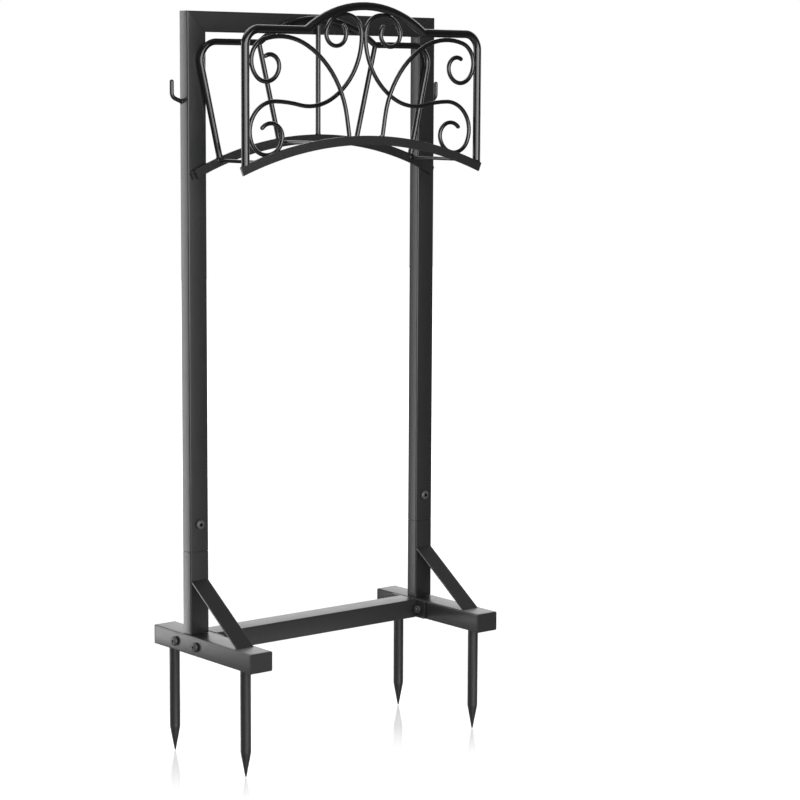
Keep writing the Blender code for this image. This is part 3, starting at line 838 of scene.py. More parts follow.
@dataclass
class Uprights:
    """The mitred top rail and the posts, in two lengths with a sleeve inside."""

    shop: Workshop
    wall: float = 0.0015
    corner: float = 0.0018
    trim: float = 0.00015  # taken off the square ends, which leaves the joints as dark lines

    def build(self) -> None:
        """Builds every piece of the upright frame."""
        stock = BoxTube(self.wall, self.corner)
        self._rail(stock)
        self._posts(stock)
        sleeve = BoxTube(self.wall, self.corner / 2)
        sleeve.draw(Span.of("joint_sleeve_right"), UPWARDS)
        self.shop.pair("sleeve", Slot.TUBE, "joint_sleeve")

    def _rail(self, stock: BoxTube) -> None:
        """The top rail, cut back at 45 degrees or so to the posts.

        Args:
            stock: The tube it is cut from.
        """
        rail, post = Span.of("top_rail"), Span.of("upper_post_right")
        width, height = post.size.x, rail.size.z
        planes = []
        for side in Side:
            corner = (side.value * rail.high.x, 0.0, rail.high.z)
            planes.append((corner, (side.value * height, 0.0, -width)))
        stock.draw(rail, RIGHTWARDS, planes)
        self.shop.finish("rail", Slot.TUBE, "top_rail")

    def _posts(self, stock: BoxTube) -> None:
        """The upper and lower posts.

        Args:
            stock: The tube they are cut from.
        """
        rail, post = Span.of("top_rail"), Span.of("upper_post_right")
        plane = ((post.high.x, 0.0, post.high.z), (-rail.size.z, 0.0, post.size.x))
        trim = UPWARDS * self.trim
        stock.draw(Span(post.low + trim, post.high), UPWARDS, [plane])
        self.shop.pair("post_upper", Slot.TUBE, "upper_post")
        lower = Span.of("lower_post_right")
        stock.draw(Span(lower.low + trim, lower.high - trim), UPWARDS)
        self.shop.pair("post_lower", Slot.TUBE, "lower_post")


@dataclass
class Base:
    """The feet, the crossbar between them, the braces and the ground spikes."""

    SHOULDER = ((1.0, 0.0012), (0.985, -0.0004), (0.955, -0.0016))  # share of the spike, height over it
    POINT = ((0.62, 0.0012), (0.46, 0.0003), (0.22, 0.0))  # share of the tip, height over its end

    shop: Workshop
    foot_wall: float = 0.0018
    foot_corner: float = 0.0020
    crossbar_wall: float = 0.0015
    plate_corner: float = 0.0018
    brace_thickness: float = 0.003
    spike_taper: float = 0.034
    spike_tip: float = 0.0018
    fine_edge: float = 0.0004
    brace_edge: float = 0.0006
    brace_spare: float = 8.0  # thicknesses left on a brace until it is trimmed
    spike_sides: int = 40

    def build(self) -> None:
        """Builds every piece of the base."""
        BoxTube(self.foot_wall, self.foot_corner).draw(Span.of("foot_right"), REARWARDS)
        self.shop.pair("foot_tube", Slot.TUBE, "foot")
        for end in ("front", "rear"):
            self._plate(f"foot_cap_{end}", f"foot_end_plate_{end}", REARWARDS, self.foot_corner)
        BoxTube(self.crossbar_wall, self.plate_corner).draw(Span.of("crossbar"), RIGHTWARDS)
        self.shop.finish("cross_tube", Slot.TUBE, "crossbar")
        self._plate("flange", "crossbar_flange", RIGHTWARDS, self.plate_corner)
        self._brace()
        for end in ("front", "rear"):
            self._spike(end)

    def _plate(self, stem: str, node: str, along: Vector, corner: float) -> None:
        """A flat plate with rounded corners, and its twin.

        Args:
            stem: The stem of their names.
            node: The stem of their nodes.
            along: The direction of their thickness.
            corner: The radius of their corners.
        """
        span = Span.of(f"{node}_right")
        Bench.block(span.centre, span.size)
        Bench.bevel_edges(along, corner, 5)
        Bench.select("FACE", lambda face: abs(face.normal.dot(along)) > FACING)
        bpy.ops.mesh.region_to_loop()
        bpy.ops.mesh.bevel(offset=self.fine_edge, segments=2, profile=0.5, affect="EDGES")
        self.shop.pair(stem, Slot.TUBE, node, flats=True)

    def _brace(self) -> None:
        """The flat bar from the post down to the foot, trimmed to seat on both."""
        span = Span.of("brace_right")
        run, rise = span.size.y, span.size.z
        slope = atan2(rise, run)
        length = hypot(run, rise) + self.brace_spare * self.brace_thickness
        inward = Vector((0.0, sin(slope), -cos(slope)))
        middle = span.centre + inward * (self.brace_thickness / 2)
        size = (span.size.x, length, self.brace_thickness)
        Bench.block(middle, size, (slope, 0.0, 0.0))
        Bench.bevel_edges(Vector((0.0, cos(slope), sin(slope))), self.brace_edge, 3)
        Bench.cut((0.0, 0.0, span.low.z), (0.0, 0.0, -1.0))
        Bench.cut((0.0, span.high.y, 0.0), (0.0, 1.0, 0.0))
        self.shop.pair("brace_bar", Slot.TUBE, "brace", flats=True)

    def _spike(self, end: str) -> None:
        """A turned spike with a drawn point.

        Args:
            end: "front" or "rear".
        """
        span = Span.of(f"ground_spike_{end}_right")
        x, y = span.centre.x, span.centre.y
        radius = span.size.x / 2
        Bench.ring(self.spike_sides, radius, (x, y, span.high.z), -UPWARDS)
        bpy.ops.mesh.edge_face_add()
        shoulder = span.low.z + self.spike_taper
        profile = [(radius * share, shoulder + rise) for share, rise in self.SHOULDER]
        profile += [(self.spike_tip * share, span.low.z + rise) for share, rise in self.POINT]
        Bench.lathe(profile, radius, span.high.z, x, y)
        self.shop.pair(f"spike_{end}", Slot.TUBE, f"ground_spike_{end}")


@dataclass
class Fasteners:
    """Button-head bolts with hexagon sockets, and their nuts."""

    shop: Workshop
    shank: float = 0.006
    head_height: float = 0.0042
    button: float = 0.0136
    crown: float = 0.0080
    lip: float = 0.0014  # where the button starts, above its seat
    brim: float = 0.0003  # height of the button's upright edge
    brim_break: float = 0.0002
    groove: float = 0.0009  # how far the neck under the button is drawn in
    shank_break: float = 0.0006
    socket: float = 0.004
    socket_depth: float = 0.0022
    pitch: float = 0.0010
    thread_depth: float = 0.00032
    nut_flats: float = 0.010
    nut_height: float = 0.005
    sides: int = 36
    dome_angles: Sequence[int] = (16, 32, 48, 64, 78, 90)
    socket_break: float = 0.0002
    nut_rounding: float = 1.002  # size of the tool that rounds a nut, against the nut's corners
    nut_break: float = 0.0008
    bore_break: float = 0.0005
    bore_play: float = 0.00015
    break_slope: float = 0.58  # height of a nut's broken edge for its width
    overshoot: float = 0.0004  # how far the bore's tool passes the nut
    tool_sides: int = 48

    def build(self) -> None:
        """Builds one bolt and nut of each length and copies them to their holes."""
        for node, axis in (("crossbar_bolt_front_right", 0), ("joint_bolt_right", 1)):
            self._bolt(node, axis)
        front, rear = Span.of("crossbar_bolt_front_right"), Span.of("crossbar_bolt_rear_right")
        along_foot = Matrix.Translation((0.0, rear.centre.y - front.centre.y, 0.0))
        moves = (("rear_right", along_foot), ("front_left", MIRROR), ("rear_left", MIRROR @ along_foot))
        for kind in ("bolt", "nut"):
            model = bpy.data.objects[f"{kind}_base_front_right"]
            for place, move in moves:
                name, node = f"{kind}_base_{place}", f"crossbar_{kind}_{place}"
                self.shop.copy(model, name, Slot.FASTENER, move, node)
            model = bpy.data.objects[f"{kind}_joint_right"]
            self.shop.mirror(model, f"{kind}_joint_left", Slot.FASTENER, f"joint_{kind}_left")

    def _bolt(self, node: str, axis: int) -> None:
        """Models a bolt and its nut about +Z and turns them into their hole.

        Args:
            node: The bolt's node.
            axis: 0 where the head faces +X, 1 where it faces -Y.
        """
        span = Span.of(node)
        nut_node = node.replace("bolt", "nut")
        nut = Span.of(nut_node)
        centre = span.centre
        name = "base_front_right" if axis == 0 else "joint_right"
        if axis == 0:
            seat = Vector((span.high.x - self.head_height, centre.y, centre.z))
            turn = Matrix.Rotation(pi / 2, 4, "Y")
            reach = span.size.x - self.head_height
            grip = span.high.x - self.head_height - nut.high.x
        else:
            seat = Vector((centre.x, span.low.y + self.head_height, centre.z))
            turn = Matrix.Rotation(pi / 2, 4, "X")
            reach = span.size.y - self.head_height
            grip = nut.low.y - seat.y
        placing = Matrix.Translation(seat) @ turn
        self._model_bolt(reach, grip)
        self._place(placing)
        self.shop.finish(f"bolt_{name}", Slot.FASTENER, node)
        self._model_nut(grip)
        self._place(placing)
        self.shop.finish(f"nut_{name}", Slot.FASTENER, nut_node)

    @staticmethod
    def _place(placing: Matrix) -> None:
        """Turns the piece in hand into its hole.

        Args:
            placing: Where its seat goes.
        """
        Bench.leave()
        bpy.context.object.matrix_world = placing
        Bench.apply()

    def _model_bolt(self, reach: float, grip: float) -> None:
        """Models the bolt with its seat at the origin and its head upwards.

        Args:
            reach: The length under the head.
            grip: What it clamps.
        """
        top = self.head_height
        radius = self.shank / 2
        crown = self.crown / 2
        Bench.ring(self.sides, crown, (0.0, 0.0, top), UPWARDS)
        dome, lip = self.button / 2, self.lip
        profile = [
            (crown + (dome - crown) * sin(angle), top - (top - lip) * (1 - cos(angle)))
            for angle in (radians(degrees) for degrees in self.dome_angles)
        ]
        brim = lip - self.brim
        neck = brim - self.brim_break
        profile += [
            (dome, brim),
            (dome - self.brim_break, neck),
            (dome - self.groove, neck),
            (dome - self.groove, 0.0),
            (radius, 0.0),
            (radius, -grip + self.pitch),
        ]
        level = -grip
        while level > -reach + self.pitch:
            profile.append((radius, level))
            profile.append((radius - self.thread_depth, level - self.pitch / 2))
            level -= self.pitch
        profile += [(radius, level), (radius - self.shank_break, -reach)]
        Bench.lathe(profile, crown, top)
        bpy.ops.mesh.edge_face_add()
        self._socket(top, crown)

    def _socket(self, top: float, crown: float) -> None:
        """Sinks the hexagon socket into the crown.

        Args:
            top: The height of the crown.
            crown: The radius of the ring that the crown's flat joins.
        """
        bpy.ops.mesh.select_all(action="DESELECT")
        corner = self.socket / 2 / cos(pi / 6)
        mouth = corner + self.socket_break
        bpy.ops.mesh.primitive_circle_add(
            vertices=6, radius=mouth, fill_type="NOTHING", location=(0.0, 0.0, top)
        )
        Bench.lathe(((corner, top - self.socket_break), (corner, top - self.socket_depth)), mouth, top)
        bpy.ops.mesh.edge_face_add()
        limit = crown * 1.001

        def on_crown(vertex: bpy.types.MeshVertex) -> bool:
            flat = abs(vertex.co.z - top) < SAME_PLACE
            return flat and hypot(vertex.co.x, vertex.co.y) < limit

        Bench.select("VERT", on_crown)
        bpy.ops.mesh.select_mode(type="EDGE")
        bpy.ops.mesh.bridge_edge_loops()

    def _model_nut(self, grip: float) -> None:
        """Models the nut under the grip.

        Args:
            grip: What the bolt clamps.
        """
        across = self.nut_flats / cos(pi / 6)
        Bench.clear()
        middle = -grip - self.nut_height / 2
        bpy.ops.mesh.primitive_cylinder_add(
            vertices=6, radius=across / 2, depth=self.nut_height, location=(0.0, 0.0, middle)
        )
        Bench.apply()
        nut = bpy.context.object
        rounding = self._cutter(across / 2 * self.nut_rounding, self.nut_break, middle)
        bore = self._cutter(self.shank / 2 + self.bore_play, -self.bore_break, middle)
        for tool, operation in ((rounding, "INTERSECT"), (bore, "DIFFERENCE")):
            Bench.take(nut)
            Bench.modify("BOOLEAN", operation=operation, solver="EXACT", object=tool)
            bpy.data.objects.remove(tool)

    def _cutter(self, radius: float, chamfer: float, middle: float) -> bpy.types.Object:
        """A round tool for the nut, drawn in at its ends, or flared where the chamfer is negative.

        Args:
            radius: Its radius.
            chamfer: How far its ends are drawn in.
            middle: The height of its middle.

        Returns:
            The tool.
        """
        half = self.nut_height / 2
        ends = radius - chamfer
        over = 0.0 if chamfer > 0 else self.overshoot
        low = middle - half - over
        Bench.ring(self.tool_sides, ends, (0.0, 0.0, low), UPWARDS)
        slope = abs(chamfer) * self.break_slope
        profile = [
            (radius, middle - half + slope),
            (radius, middle + half - slope),
            (ends, middle + half + over),
        ]
        if over:
            profile.insert(0, (ends, middle - half))
            profile.insert(3, (ends, middle + half))
        Bench.lathe(profile, ends, low)
        bpy.ops.mesh.edge_face_add()
        Bench.select("VERT", lambda vertex: abs(vertex.co.z - low) < SAME_PLACE)
        bpy.ops.mesh.edge_face_add()
        bpy.ops.mesh.select_all(action="SELECT")
        bpy.ops.mesh.normals_make_consistent(inside=False)
        Bench.apply()
        return bpy.context.object


@dataclass
class Saddle:
    """The two arched strips, the rungs between them and the packing plates behind."""

    shop: Workshop
    height: float = 0.0125
    front_radius: float = 0.560
    rear_radius: float = 0.488
    edge: float = 0.0005
    rung: float = 0.005
    rung_extra: float = 0.0002  # added to a rung at each end
    strip_steps: int = 96
    blank: float = 0.0001  # thickness of the slice that a strip is drawn from
    packing_width: float = 0.024
    packing_corner: float = 0.0015

    def tops(self) -> tuple["Arch", "Arch"]:
        """The upper edges of the front strip and of the rear strip.

        Returns:
            The two arcs.
        """
        front = self.arc("saddle_front_strip", self.front_radius)
        rear = self.arc("saddle_rear_strip", self.rear_radius)
        over = self.height / 2
        return Arch(front.centre_z, front.radius + over), Arch(rear.centre_z, rear.radius + over)

    def arc(self, node: str, radius: float) -> "Arch":
        """The middle line of a strip."""
        crown = Span.of(node).high.z - self.height / 2
        return Arch(crown - radius, radius)

    def build(self) -> None:
        """Builds the strips, rungs and packing plates."""
        self._strip("saddle_front_strip", "strip_front", self.front_radius)
        self._strip("saddle_rear_strip", "strip_rear", self.rear_radius)
        for place in ("inner", "outer"):
            span = Span.of(f"saddle_rung_{place}_right")
            length = span.size.y + 2 * self.rung_extra
            start = (span.centre.x, span.low.y - self.rung_extra, span.centre.z)
            Bar(self.rung, start, REARWARDS, UPWARDS).straight(length).close()
            self.shop.pair(f"rung_{place}", Slot.BAR, f"saddle_rung_{place}")
        self._packing()

    def _strip(self, node: str, name: str, radius: float) -> None:
        """A flat bar on edge, rolled to an arc.

        Args:
            node: Its node.
            name: The piece's name.
            radius: The radius of its middle.
        """
        span = Span.of(node)
        arc = self.arc(node, radius)
        half = asin(span.high.x / (radius + self.height / 2))
        angle = -half
        heading = Vector((cos(angle), 0.0, -sin(angle)))
        start = Vector((radius * sin(angle), span.centre.y, arc.centre_z + radius * cos(angle)))
        Bench.block(start, (self.blank, span.size.y, self.height), (0.0, angle, 0.0))
        Bench.bevel_edges(heading, self.edge, segments=3, tolerance=0.05)
        Bench.drop_faces(lambda face: face.normal.dot(heading) > -FACING)
        Bench.select("FACE", lambda face: True)
        centre = (0.0, span.centre.y, arc.centre_z)
        bpy.ops.mesh.spin(steps=self.strip_steps, angle=-2 * half, center=centre, axis=REARWARDS)
        self.shop.finish(name, Slot.TUBE, node, flats=True)

    def _packing(self) -> None:
        """The packing plates that carry the rear strip's ends."""
        span = Span.of("hanger_spacer_right")
        post = Span.of("upper_post_right")
        tilt = asin(post.centre.x / self.rear_radius)
        size = (self.packing_width, span.size.y, self.height)
        Bench.block(span.centre, size, (0.0, tilt, 0.0))
        Bench.bevel_edges(REARWARDS, self.packing_corner, 4)
        self.shop.pair("packing", Slot.TUBE, "hanger_spacer", flats=True)


@dataclass(frozen=True)
class Arch:
    """A circle about a point on the stand's middle plane."""

    centre_z: float
    radius: float

    def height(self, x: float) -> float:
        """The top of the circle above a place."""
        return self.centre_z + sqrt(self.radius**2 - x * x)

    def lean(self, x: float) -> float:
        """How far the circle leans from level at a place."""
        return asin(x / self.radius)


@dataclass
class Hoop:
    """One hoop of the hanger: an arched crown, level shoulders and two legs."""

    shop: Workshop
    node: str
    name: str
    bar: float
    shoulder_drop: float
    half_width: float
    corner: float
    foot: Arch
    lean: float = 0.0
    arch_radius: float = 0.1656
    arch_rise: float = 0.0341
    arch_bend: float = 0.008
    spare: float = 0.006  # what is left on each leg until it is cut to the strip's slope
    rounds: int = 8  # in which the length of a leg settles

    def build(self) -> None:
        """Bends the hoop, from its left foot over the crown to its right foot."""
        plane = Span.of(self.node).centre.y
        shoulder = Span.of("top_rail").high.z - self.shoulder_drop
        sweep = acos(1 - self.arch_rise / (self.arch_radius + self.arch_bend))
        half_chord = (self.arch_radius + self.arch_bend) * sin(sweep)
        level = self.half_width - self.corner - half_chord
        turn = pi / 2 + self.lean
        elbow = Vector((self.half_width - self.corner, shoulder - self.corner))
        top = elbow + self.corner * Vector((cos(self.lean), -sin(self.lean)))
        leg = self._leg(top)
        down = -Vector((sin(self.lean), cos(self.lean)))
        foot = top + leg * down
        leg += self.spare
        end = top + leg * down
        start = (-end.x, plane, end.y)
        heading = (-sin(self.lean), 0.0, cos(self.lean))
        bar = Bar(self.bar, start, heading, REARWARDS)
        bar.straight(leg).bend(self.corner, turn).straight(level)
        bar.bend(self.arch_bend, -sweep).bend(self.arch_radius, 2 * sweep).bend(self.arch_bend, -sweep)
        bar.straight(level).bend(self.corner, turn).straight(leg).close()
        slope, reach = self.foot.lean(foot.x), top.y + self.bar / 2
        for side in Side:
            hand = side.value
            Bench.cut(
                (hand * foot.x, plane, foot.y),
                (-hand * sin(slope), 0.0, -cos(slope)),
                part=lambda vertex, hand=hand: hand * vertex.co.x > 0 and vertex.co.z < reach,
            )
        self.shop.finish(self.name, Slot.BAR, self.node)

    def _leg(self, top: Vector) -> float:
        """How long a leg is, from its elbow down to the strip.

        Args:
            top: The lower end of the elbow, as x and z.

        Returns:
            The length of the leg's middle line.
        """
        length = 0.0
        for _ in range(self.rounds):
            x = top.x - length * sin(self.lean)
            drop = top.y - length * cos(self.lean) - self.foot.height(x)
            length += drop / cos(self.lean)
        return length


@dataclass
class BackBars:
    """The three bars that fan out inside the back hoop."""

    shop: Workshop
    foot: Arch
    diameter: float = 0.0072
    top_offset: float = 0.100
    foot_offset: float = 0.0685
    sink: float = 0.0020  # how far an end runs into the hoop

    def build(self) -> None:
        """Cuts the three bars."""
        span = Span.of("back_bar_centre")
        plane = span.centre.y
        Bar(self.diameter, (0.0, plane, span.low.z), UPWARDS, REARWARDS).straight(span.size.z).close()
        self.shop.finish("fan_bar_centre", Slot.BAR, "back_bar_centre")
        top = Vector((self.top_offset, plane, Span.of("back_bar_right").high.z))
        foot = Vector((self.foot_offset, plane, self.foot.height(self.foot_offset)))
        run = top - foot
        length = run.length + self.sink
        Bar(self.diameter, foot, run, REARWARDS).straight(length).close()
        self.shop.pair("fan_bar", Slot.BAR, "back_bar")


@dataclass
class Scroll:
    """A rod bent into a scroll in a plane of its own, between curled ends."""

    shop: Workshop
    node: str
    name: str
    heading: float  # degrees above level
    stem: float
    arcs: Sequence[tuple[float, float]]  # radius and turn, degrees anticlockwise
    first: Cap = Cap.DOMED
    bar: float = 0.0059
    sides: int = 24
    solid_sides: int = 8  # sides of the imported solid's section

    def build(self) -> None:
        """Bends the rod, fits it to its node and mirrors it."""
        span = Span.of(f"{self.node}_right")
        angle = radians(self.heading)
        start = (0.0, span.centre.y, 0.0)
        rod = Bar(self.bar, start, (cos(angle), 0.0, sin(angle)), REARWARDS, self.sides)
        if self.stem:
            rod.straight(self.stem)
        for radius, turn in self.arcs:
            rod.bend(radius, -radians(turn))
        rod.close(self.first, Cap.DOMED)
        slack = self.bar / 2 * (1 - cos(pi / self.solid_sides))
        margin = Vector((slack, 0.0, slack))
        low = span.low - margin
        if self.first is Cap.FLAT:
            low.z = span.low.z
        Bar.fit(low, span.high + margin)
        self.shop.pair(self.name, Slot.BAR, self.node)


@dataclass
class Hanger:
    """The hoops, the bars of the back hoop, the scrolls and the hooks for hand tools."""

    ARCHED = ((0.1265, -53), (0.0943, -44.3), (0.0280, -118), (0.0216, -116), (0.0147, -139))
    DOUBLE = (
        (0.0166, 240.5),
        (0.0322, 82.5),
        (0.0271, 76),
        (0.1003, 62.5),
        (0.0728, 41.5),
        (0.186, -12),
        (0.0403, -115.5),
        (0.0256, -142),
        (0.0186, -151.5),
    )

    shop: Workshop
    saddle: Saddle
    seat: float = 0.0003
    back_inset: float = 0.0033
    back_lean: float = radians(13.2)
    hook_bar: float = 0.0058
    hook_sides: int = 24
    hook_slope: float = radians(22)
    hook_reach: float = 0.0108
    hook_bend: float = 0.0085
    hook_rise: float = 0.0176

    def build(self) -> None:
        """Builds every round bar of the hanger."""
        front_top, rear_top = self.saddle.tops()
        post = Span.of("upper_post_right").centre.x
        Hoop(
            self.shop,
            node="front_hoop",
            name="hoop_front",
            bar=0.0112,
            shoulder_drop=0.0255,
            half_width=post,
            corner=0.022,
            foot=front_top,
        ).build()
        Hoop(
            self.shop,
            node="back_hoop",
            name="hoop_back",
            bar=0.0088,
            shoulder_drop=0.0405,
            half_width=post - self.back_inset,
            corner=0.025,
            foot=rear_top,
            lean=self.back_lean,
        ).build()
        BackBars(self.shop, rear_top).build()
        Scroll(
            self.shop,
            node="arch_scroll",
            name="scroll_arched",
            heading=80.5,
            stem=0.0243,
            arcs=self.ARCHED,
            first=Cap.FLAT,
        ).build()
        Scroll(
            self.shop, node="s_scroll", name="scroll_double", heading=-130, stem=0.0, arcs=self.DOUBLE
        ).build()
        self._hook()

    def _hook(self) -> None:
        """The upturned hook on the post's outer face, and its twin."""
        span = Span.of("tool_hook_right")
        angle = self.hook_slope
        rise = self.hook_reach * sin(angle) + self.hook_bend * cos(angle) + self.hook_rise
        start = (span.low.x - self.seat, span.centre.y, span.high.z - rise)
        bar = Bar(self.hook_bar, start, (cos(angle), 0.0, sin(angle)), REARWARDS, self.hook_sides)
        bar.straight(self.hook_reach).bend(self.hook_bend, angle - pi / 2)
        bar.straight(self.hook_rise - self.hook_bar / 2).close(Cap.FLAT, Cap.DOMED)
        self.shop.pair("hook", Slot.BAR, "tool_hook")


@dataclass
class Welds:
    """The small rippled beads on the spikes and the hanger, under the coat."""

    UPRIGHT_BARS = (  # name, strip (0 the front, 1 the rear), place along X, half the bar's width
        ("hoop_front", 0, 0.200, 0.0056),
        ("scroll", 0, 0.0289, 0.00295),
        ("hoop_back", 1, 0.1671, 0.0045),
        ("fan", 1, 0.0685, 0.0037),
        ("fan_centre", 1, 0.0, 0.0036),
    )

    shop: Workshop
    saddle: Saddle
    ripple: float = 0.0013  # from one ripple to the next
    ring_ripple: float = 0.09  # depth of a ring's ripples, as a share of the bead
    seam_ripple: float = 0.08
    ring_sides: int = 8
    seam_sides: int = 10
    closure: float = 0.00001  # vertices closer than this are joined where a ring meets itself
    fine: float = 0.0018
    broad: float = 0.0024
    clearance: float = 0.0001
    hook_height: float = 0.7555
    curl: Point = (0.157, 0.6845)  # where an S scroll touches the strip, as x and z
    curl_stand: float = 0.0006
    curl_tack: float = 0.007
    crown: Point = (0.0425, -0.1172, 0.8744)  # where an arch scroll touches the hoop
    crown_slope: float = 0.26
    crown_tack: float = 0.005
    upright_tack: float = 0.006

    def build(self) -> None:
        """Builds every bead."""
        self._under_feet()
        self._rungs_and_hooks()
        self._hoop_feet()
        self._scroll_tacks()

    def _ring(self, name: str, centre: Vector, axis: Vector, radius: float, slot: Slot) -> bpy.types.Object:
        """A bead round the end of a bar.

        Args:
            name: The bead's name.
            centre: Where the bar's middle meets the face.
            axis: The bar's direction.
            radius: The bar's radius.
            slot: The bead's slot.

        Returns:
            The bead.
        """
        across = axis.orthogonal().normalized()
        side = axis.cross(across)
        steps = 2 * ceil(2 * pi * radius / self.ripple)
        Bench.ring(self.ring_sides, self.fine / 2, centre + across * radius, side)
        bpy.ops.mesh.spin(steps=steps, angle=2 * pi, center=centre, axis=axis)
        bpy.ops.mesh.select_all(action="SELECT")
        bpy.ops.mesh.remove_doubles(threshold=self.closure)

        def on_ripple(vertex: bpy.types.MeshVertex) -> bool:
            offset = vertex.co - centre
            angle = atan2(offset.dot(side), offset.dot(across)) % (2 * pi)
            return round(angle / (2 * pi / steps)) % 2 == 1

        Bench.select("VERT", on_ripple)
        bpy.ops.transform.shrink_fatten(value=-self.ring_ripple * self.fine)
        return self.shop.finish(name, slot)

    def _seam(self, name: str, start: Vector, end: Vector, bead: float) -> bpy.types.Object:
        """A straight bead.

        Args:
            name: The bead's name.
            start: Where it starts.
            end: Where it ends.
            bead: Its width.

        Returns:
            The bead.
        """
        run = end - start
        steps = 2 * max(1, round(run.length / self.ripple))
        heading = run.normalized()
        bar = Bar(bead, start, heading, heading.orthogonal(), self.seam_sides)
        for _ in range(steps):
            bar.straight(run.length / steps)
        bar.close(Cap.DOMED, Cap.DOMED)

        def on_ripple(vertex: bpy.types.MeshVertex) -> bool:
            along = (vertex.co - start).dot(heading) / run.length * steps
            return 0.5 < along < steps - 0.5 and round(along) % 2 == 1

        Bench.select("VERT", on_ripple)
        bpy.ops.transform.shrink_fatten(value=-self.seam_ripple * bead)
        return self.shop.finish(name, Slot.BAR)

    def _under_feet(self) -> None:
        """The rings round the spikes under the feet."""
        front, rear = Span.of("ground_spike_front_right"), Span.of("ground_spike_rear_right")
        underside = Span.of("foot_right").low.z - self.clearance
        centre = Vector((front.centre.x, front.centre.y, underside))
        ring = self._ring("bead_spike_front_right", centre, UPWARDS, front.size.x / 2, Slot.TUBE)
        back = Matrix.Translation((0.0, rear.centre.y - front.centre.y, 0.0))
        for place, move in (("rear_right", back), ("front_left", MIRROR), ("rear_left", MIRROR @ back)):
            self.shop.copy(ring, f"bead_spike_{place}", Slot.TUBE, move)

    def _rungs_and_hooks(self) -> None:
        """The rings at both ends of each rung, and at the root of each tool hook."""
        ring = None
        for place in ("inner", "outer"):
            span = Span.of(f"saddle_rung_{place}_right")
            for end, reach in (("front", span.low.y), ("rear", span.high.y)):
                centre = Vector((span.centre.x, reach, span.centre.z))
                name = f"bead_rung_{place}_{end}"
                if ring is None:
                    first = centre
                    ring = self._ring(f"{name}_right", centre, REARWARDS, self.saddle.rung / 2, Slot.BAR)
                else:
                    move = Matrix.Translation(centre - first)
                    self.shop.copy(ring, f"{name}_right", Slot.BAR, move)
                piece = bpy.data.objects[f"{name}_right"]
                self.shop.mirror(piece, f"{name}_left", Slot.BAR)
        hook = Span.of("tool_hook_right")
        radius = hook.size.y / 2 + self.clearance
        root = Vector((hook.low.x, hook.centre.y, self.hook_height))
        ring = self._ring("bead_hook_right", root, RIGHTWARDS, radius, Slot.BAR)
        self.shop.mirror(ring, "bead_hook_left", Slot.BAR)

    def _tack(self, name: str, middle: Point, along: Point, length: float, bead: float) -> None:
        """A short bead and its twin on the other side, or one alone on the middle plane.

        Args:
            name: The stem of their names.
            middle: The right-hand bead's middle.
            along: The direction that it runs in.
            length: Its length without its round ends.
            bead: Its width.
        """
        half = Vector(along).normalized() * (length / 2)
        start, end = Vector(middle) - half, Vector(middle) + half
        if abs(middle[0]) < SAME_PLACE:
            self._seam(name, start, end, bead)
        else:
            piece = self._seam(f"{name}_right", start, end, bead)
            self.shop.mirror(piece, f"{name}_left", Slot.BAR)

    def _hoop_feet(self) -> None:
        """The tacks on both flanks of each upright bar, where it stands on a strip."""
        strips = [Span.of(f"saddle_{place}_strip") for place in ("front", "rear")]
        tops = self.saddle.tops()
        for name, index, x, radius in self.UPRIGHT_BARS:
            strip, top = strips[index], tops[index]
            for word, side in (("in", -1), ("out", 1)):
                place = x + side * (radius + self.clearance)
                middle = (place, strip.centre.y, top.height(place) + self.clearance)
                self._tack(f"bead_{name}_{word}", middle, REARWARDS, strip.size.y - self.fine, self.fine)

    def _scroll_tacks(self) -> None:
        """The tacks where the scrolls meet the strip, the hoop and each other."""
        strip = Span.of("saddle_front_strip")
        x, z = self.curl
        lean = self.saddle.arc("saddle_front_strip", self.saddle.front_radius).lean(x)
        middle, slope = (x, strip.high.y + self.curl_stand, z), (cos(lean), 0.0, -sin(lean))
        self._tack("bead_curl", middle, slope, self.curl_tack, self.broad)
        slope = (cos(self.crown_slope), 0.0, -sin(self.crown_slope))
        self._tack("bead_crown", self.crown, slope, self.crown_tack, self.broad)
        double = bpy.data.objects["scroll_double_right"].data.vertices
        inmost = min(double, key=lambda vertex: vertex.co.x).co
        middle = (0.0, Span.of("s_scroll_right").centre.y, inmost.z)
        self._tack("bead_twin", middle, UPWARDS, self.upright_tack, self.broad)
        arched = bpy.data.objects["scroll_arched_right"].data.vertices
        outmost = max(arched, key=lambda vertex: vertex.co.x).co
        middle = (outmost.x + self.clearance, Span.of("arch_scroll_right").centre.y, outmost.z)
        self._tack("bead_leg", middle, UPWARDS, self.upright_tack, self.broad)


@dataclass(frozen=True)
class SoftBox:
    """A rectangular light."""

    name: str
    place: Point
    size: tuple[float, float]
    power: float  # in watts
    aim: Point = (0.0, 0.0, 0.40)

    def hang(self) -> None:
        """Makes the light and faces it to its aim."""
        lamp = bpy.data.lights.new(self.name, "AREA")
        lamp.shape = "RECTANGLE"
        lamp.size, lamp.size_y = self.size
        lamp.energy = self.power
        light = bpy.data.objects.new(self.name, lamp)
        light.location = self.place
        towards = Vector(self.aim) - Vector(self.place)
        light.rotation_euler = towards.to_track_quat("-Z", "Y").to_euler()
        bpy.context.scene.collection.objects.link(light)


@dataclass(frozen=True)
class Wall:
    """A bright or dark part of the studio round the stand, as the coats reflect it."""

    axis: Point
    fade: Range  # cosines of the angle to the axis between which it fades in
    strength: float


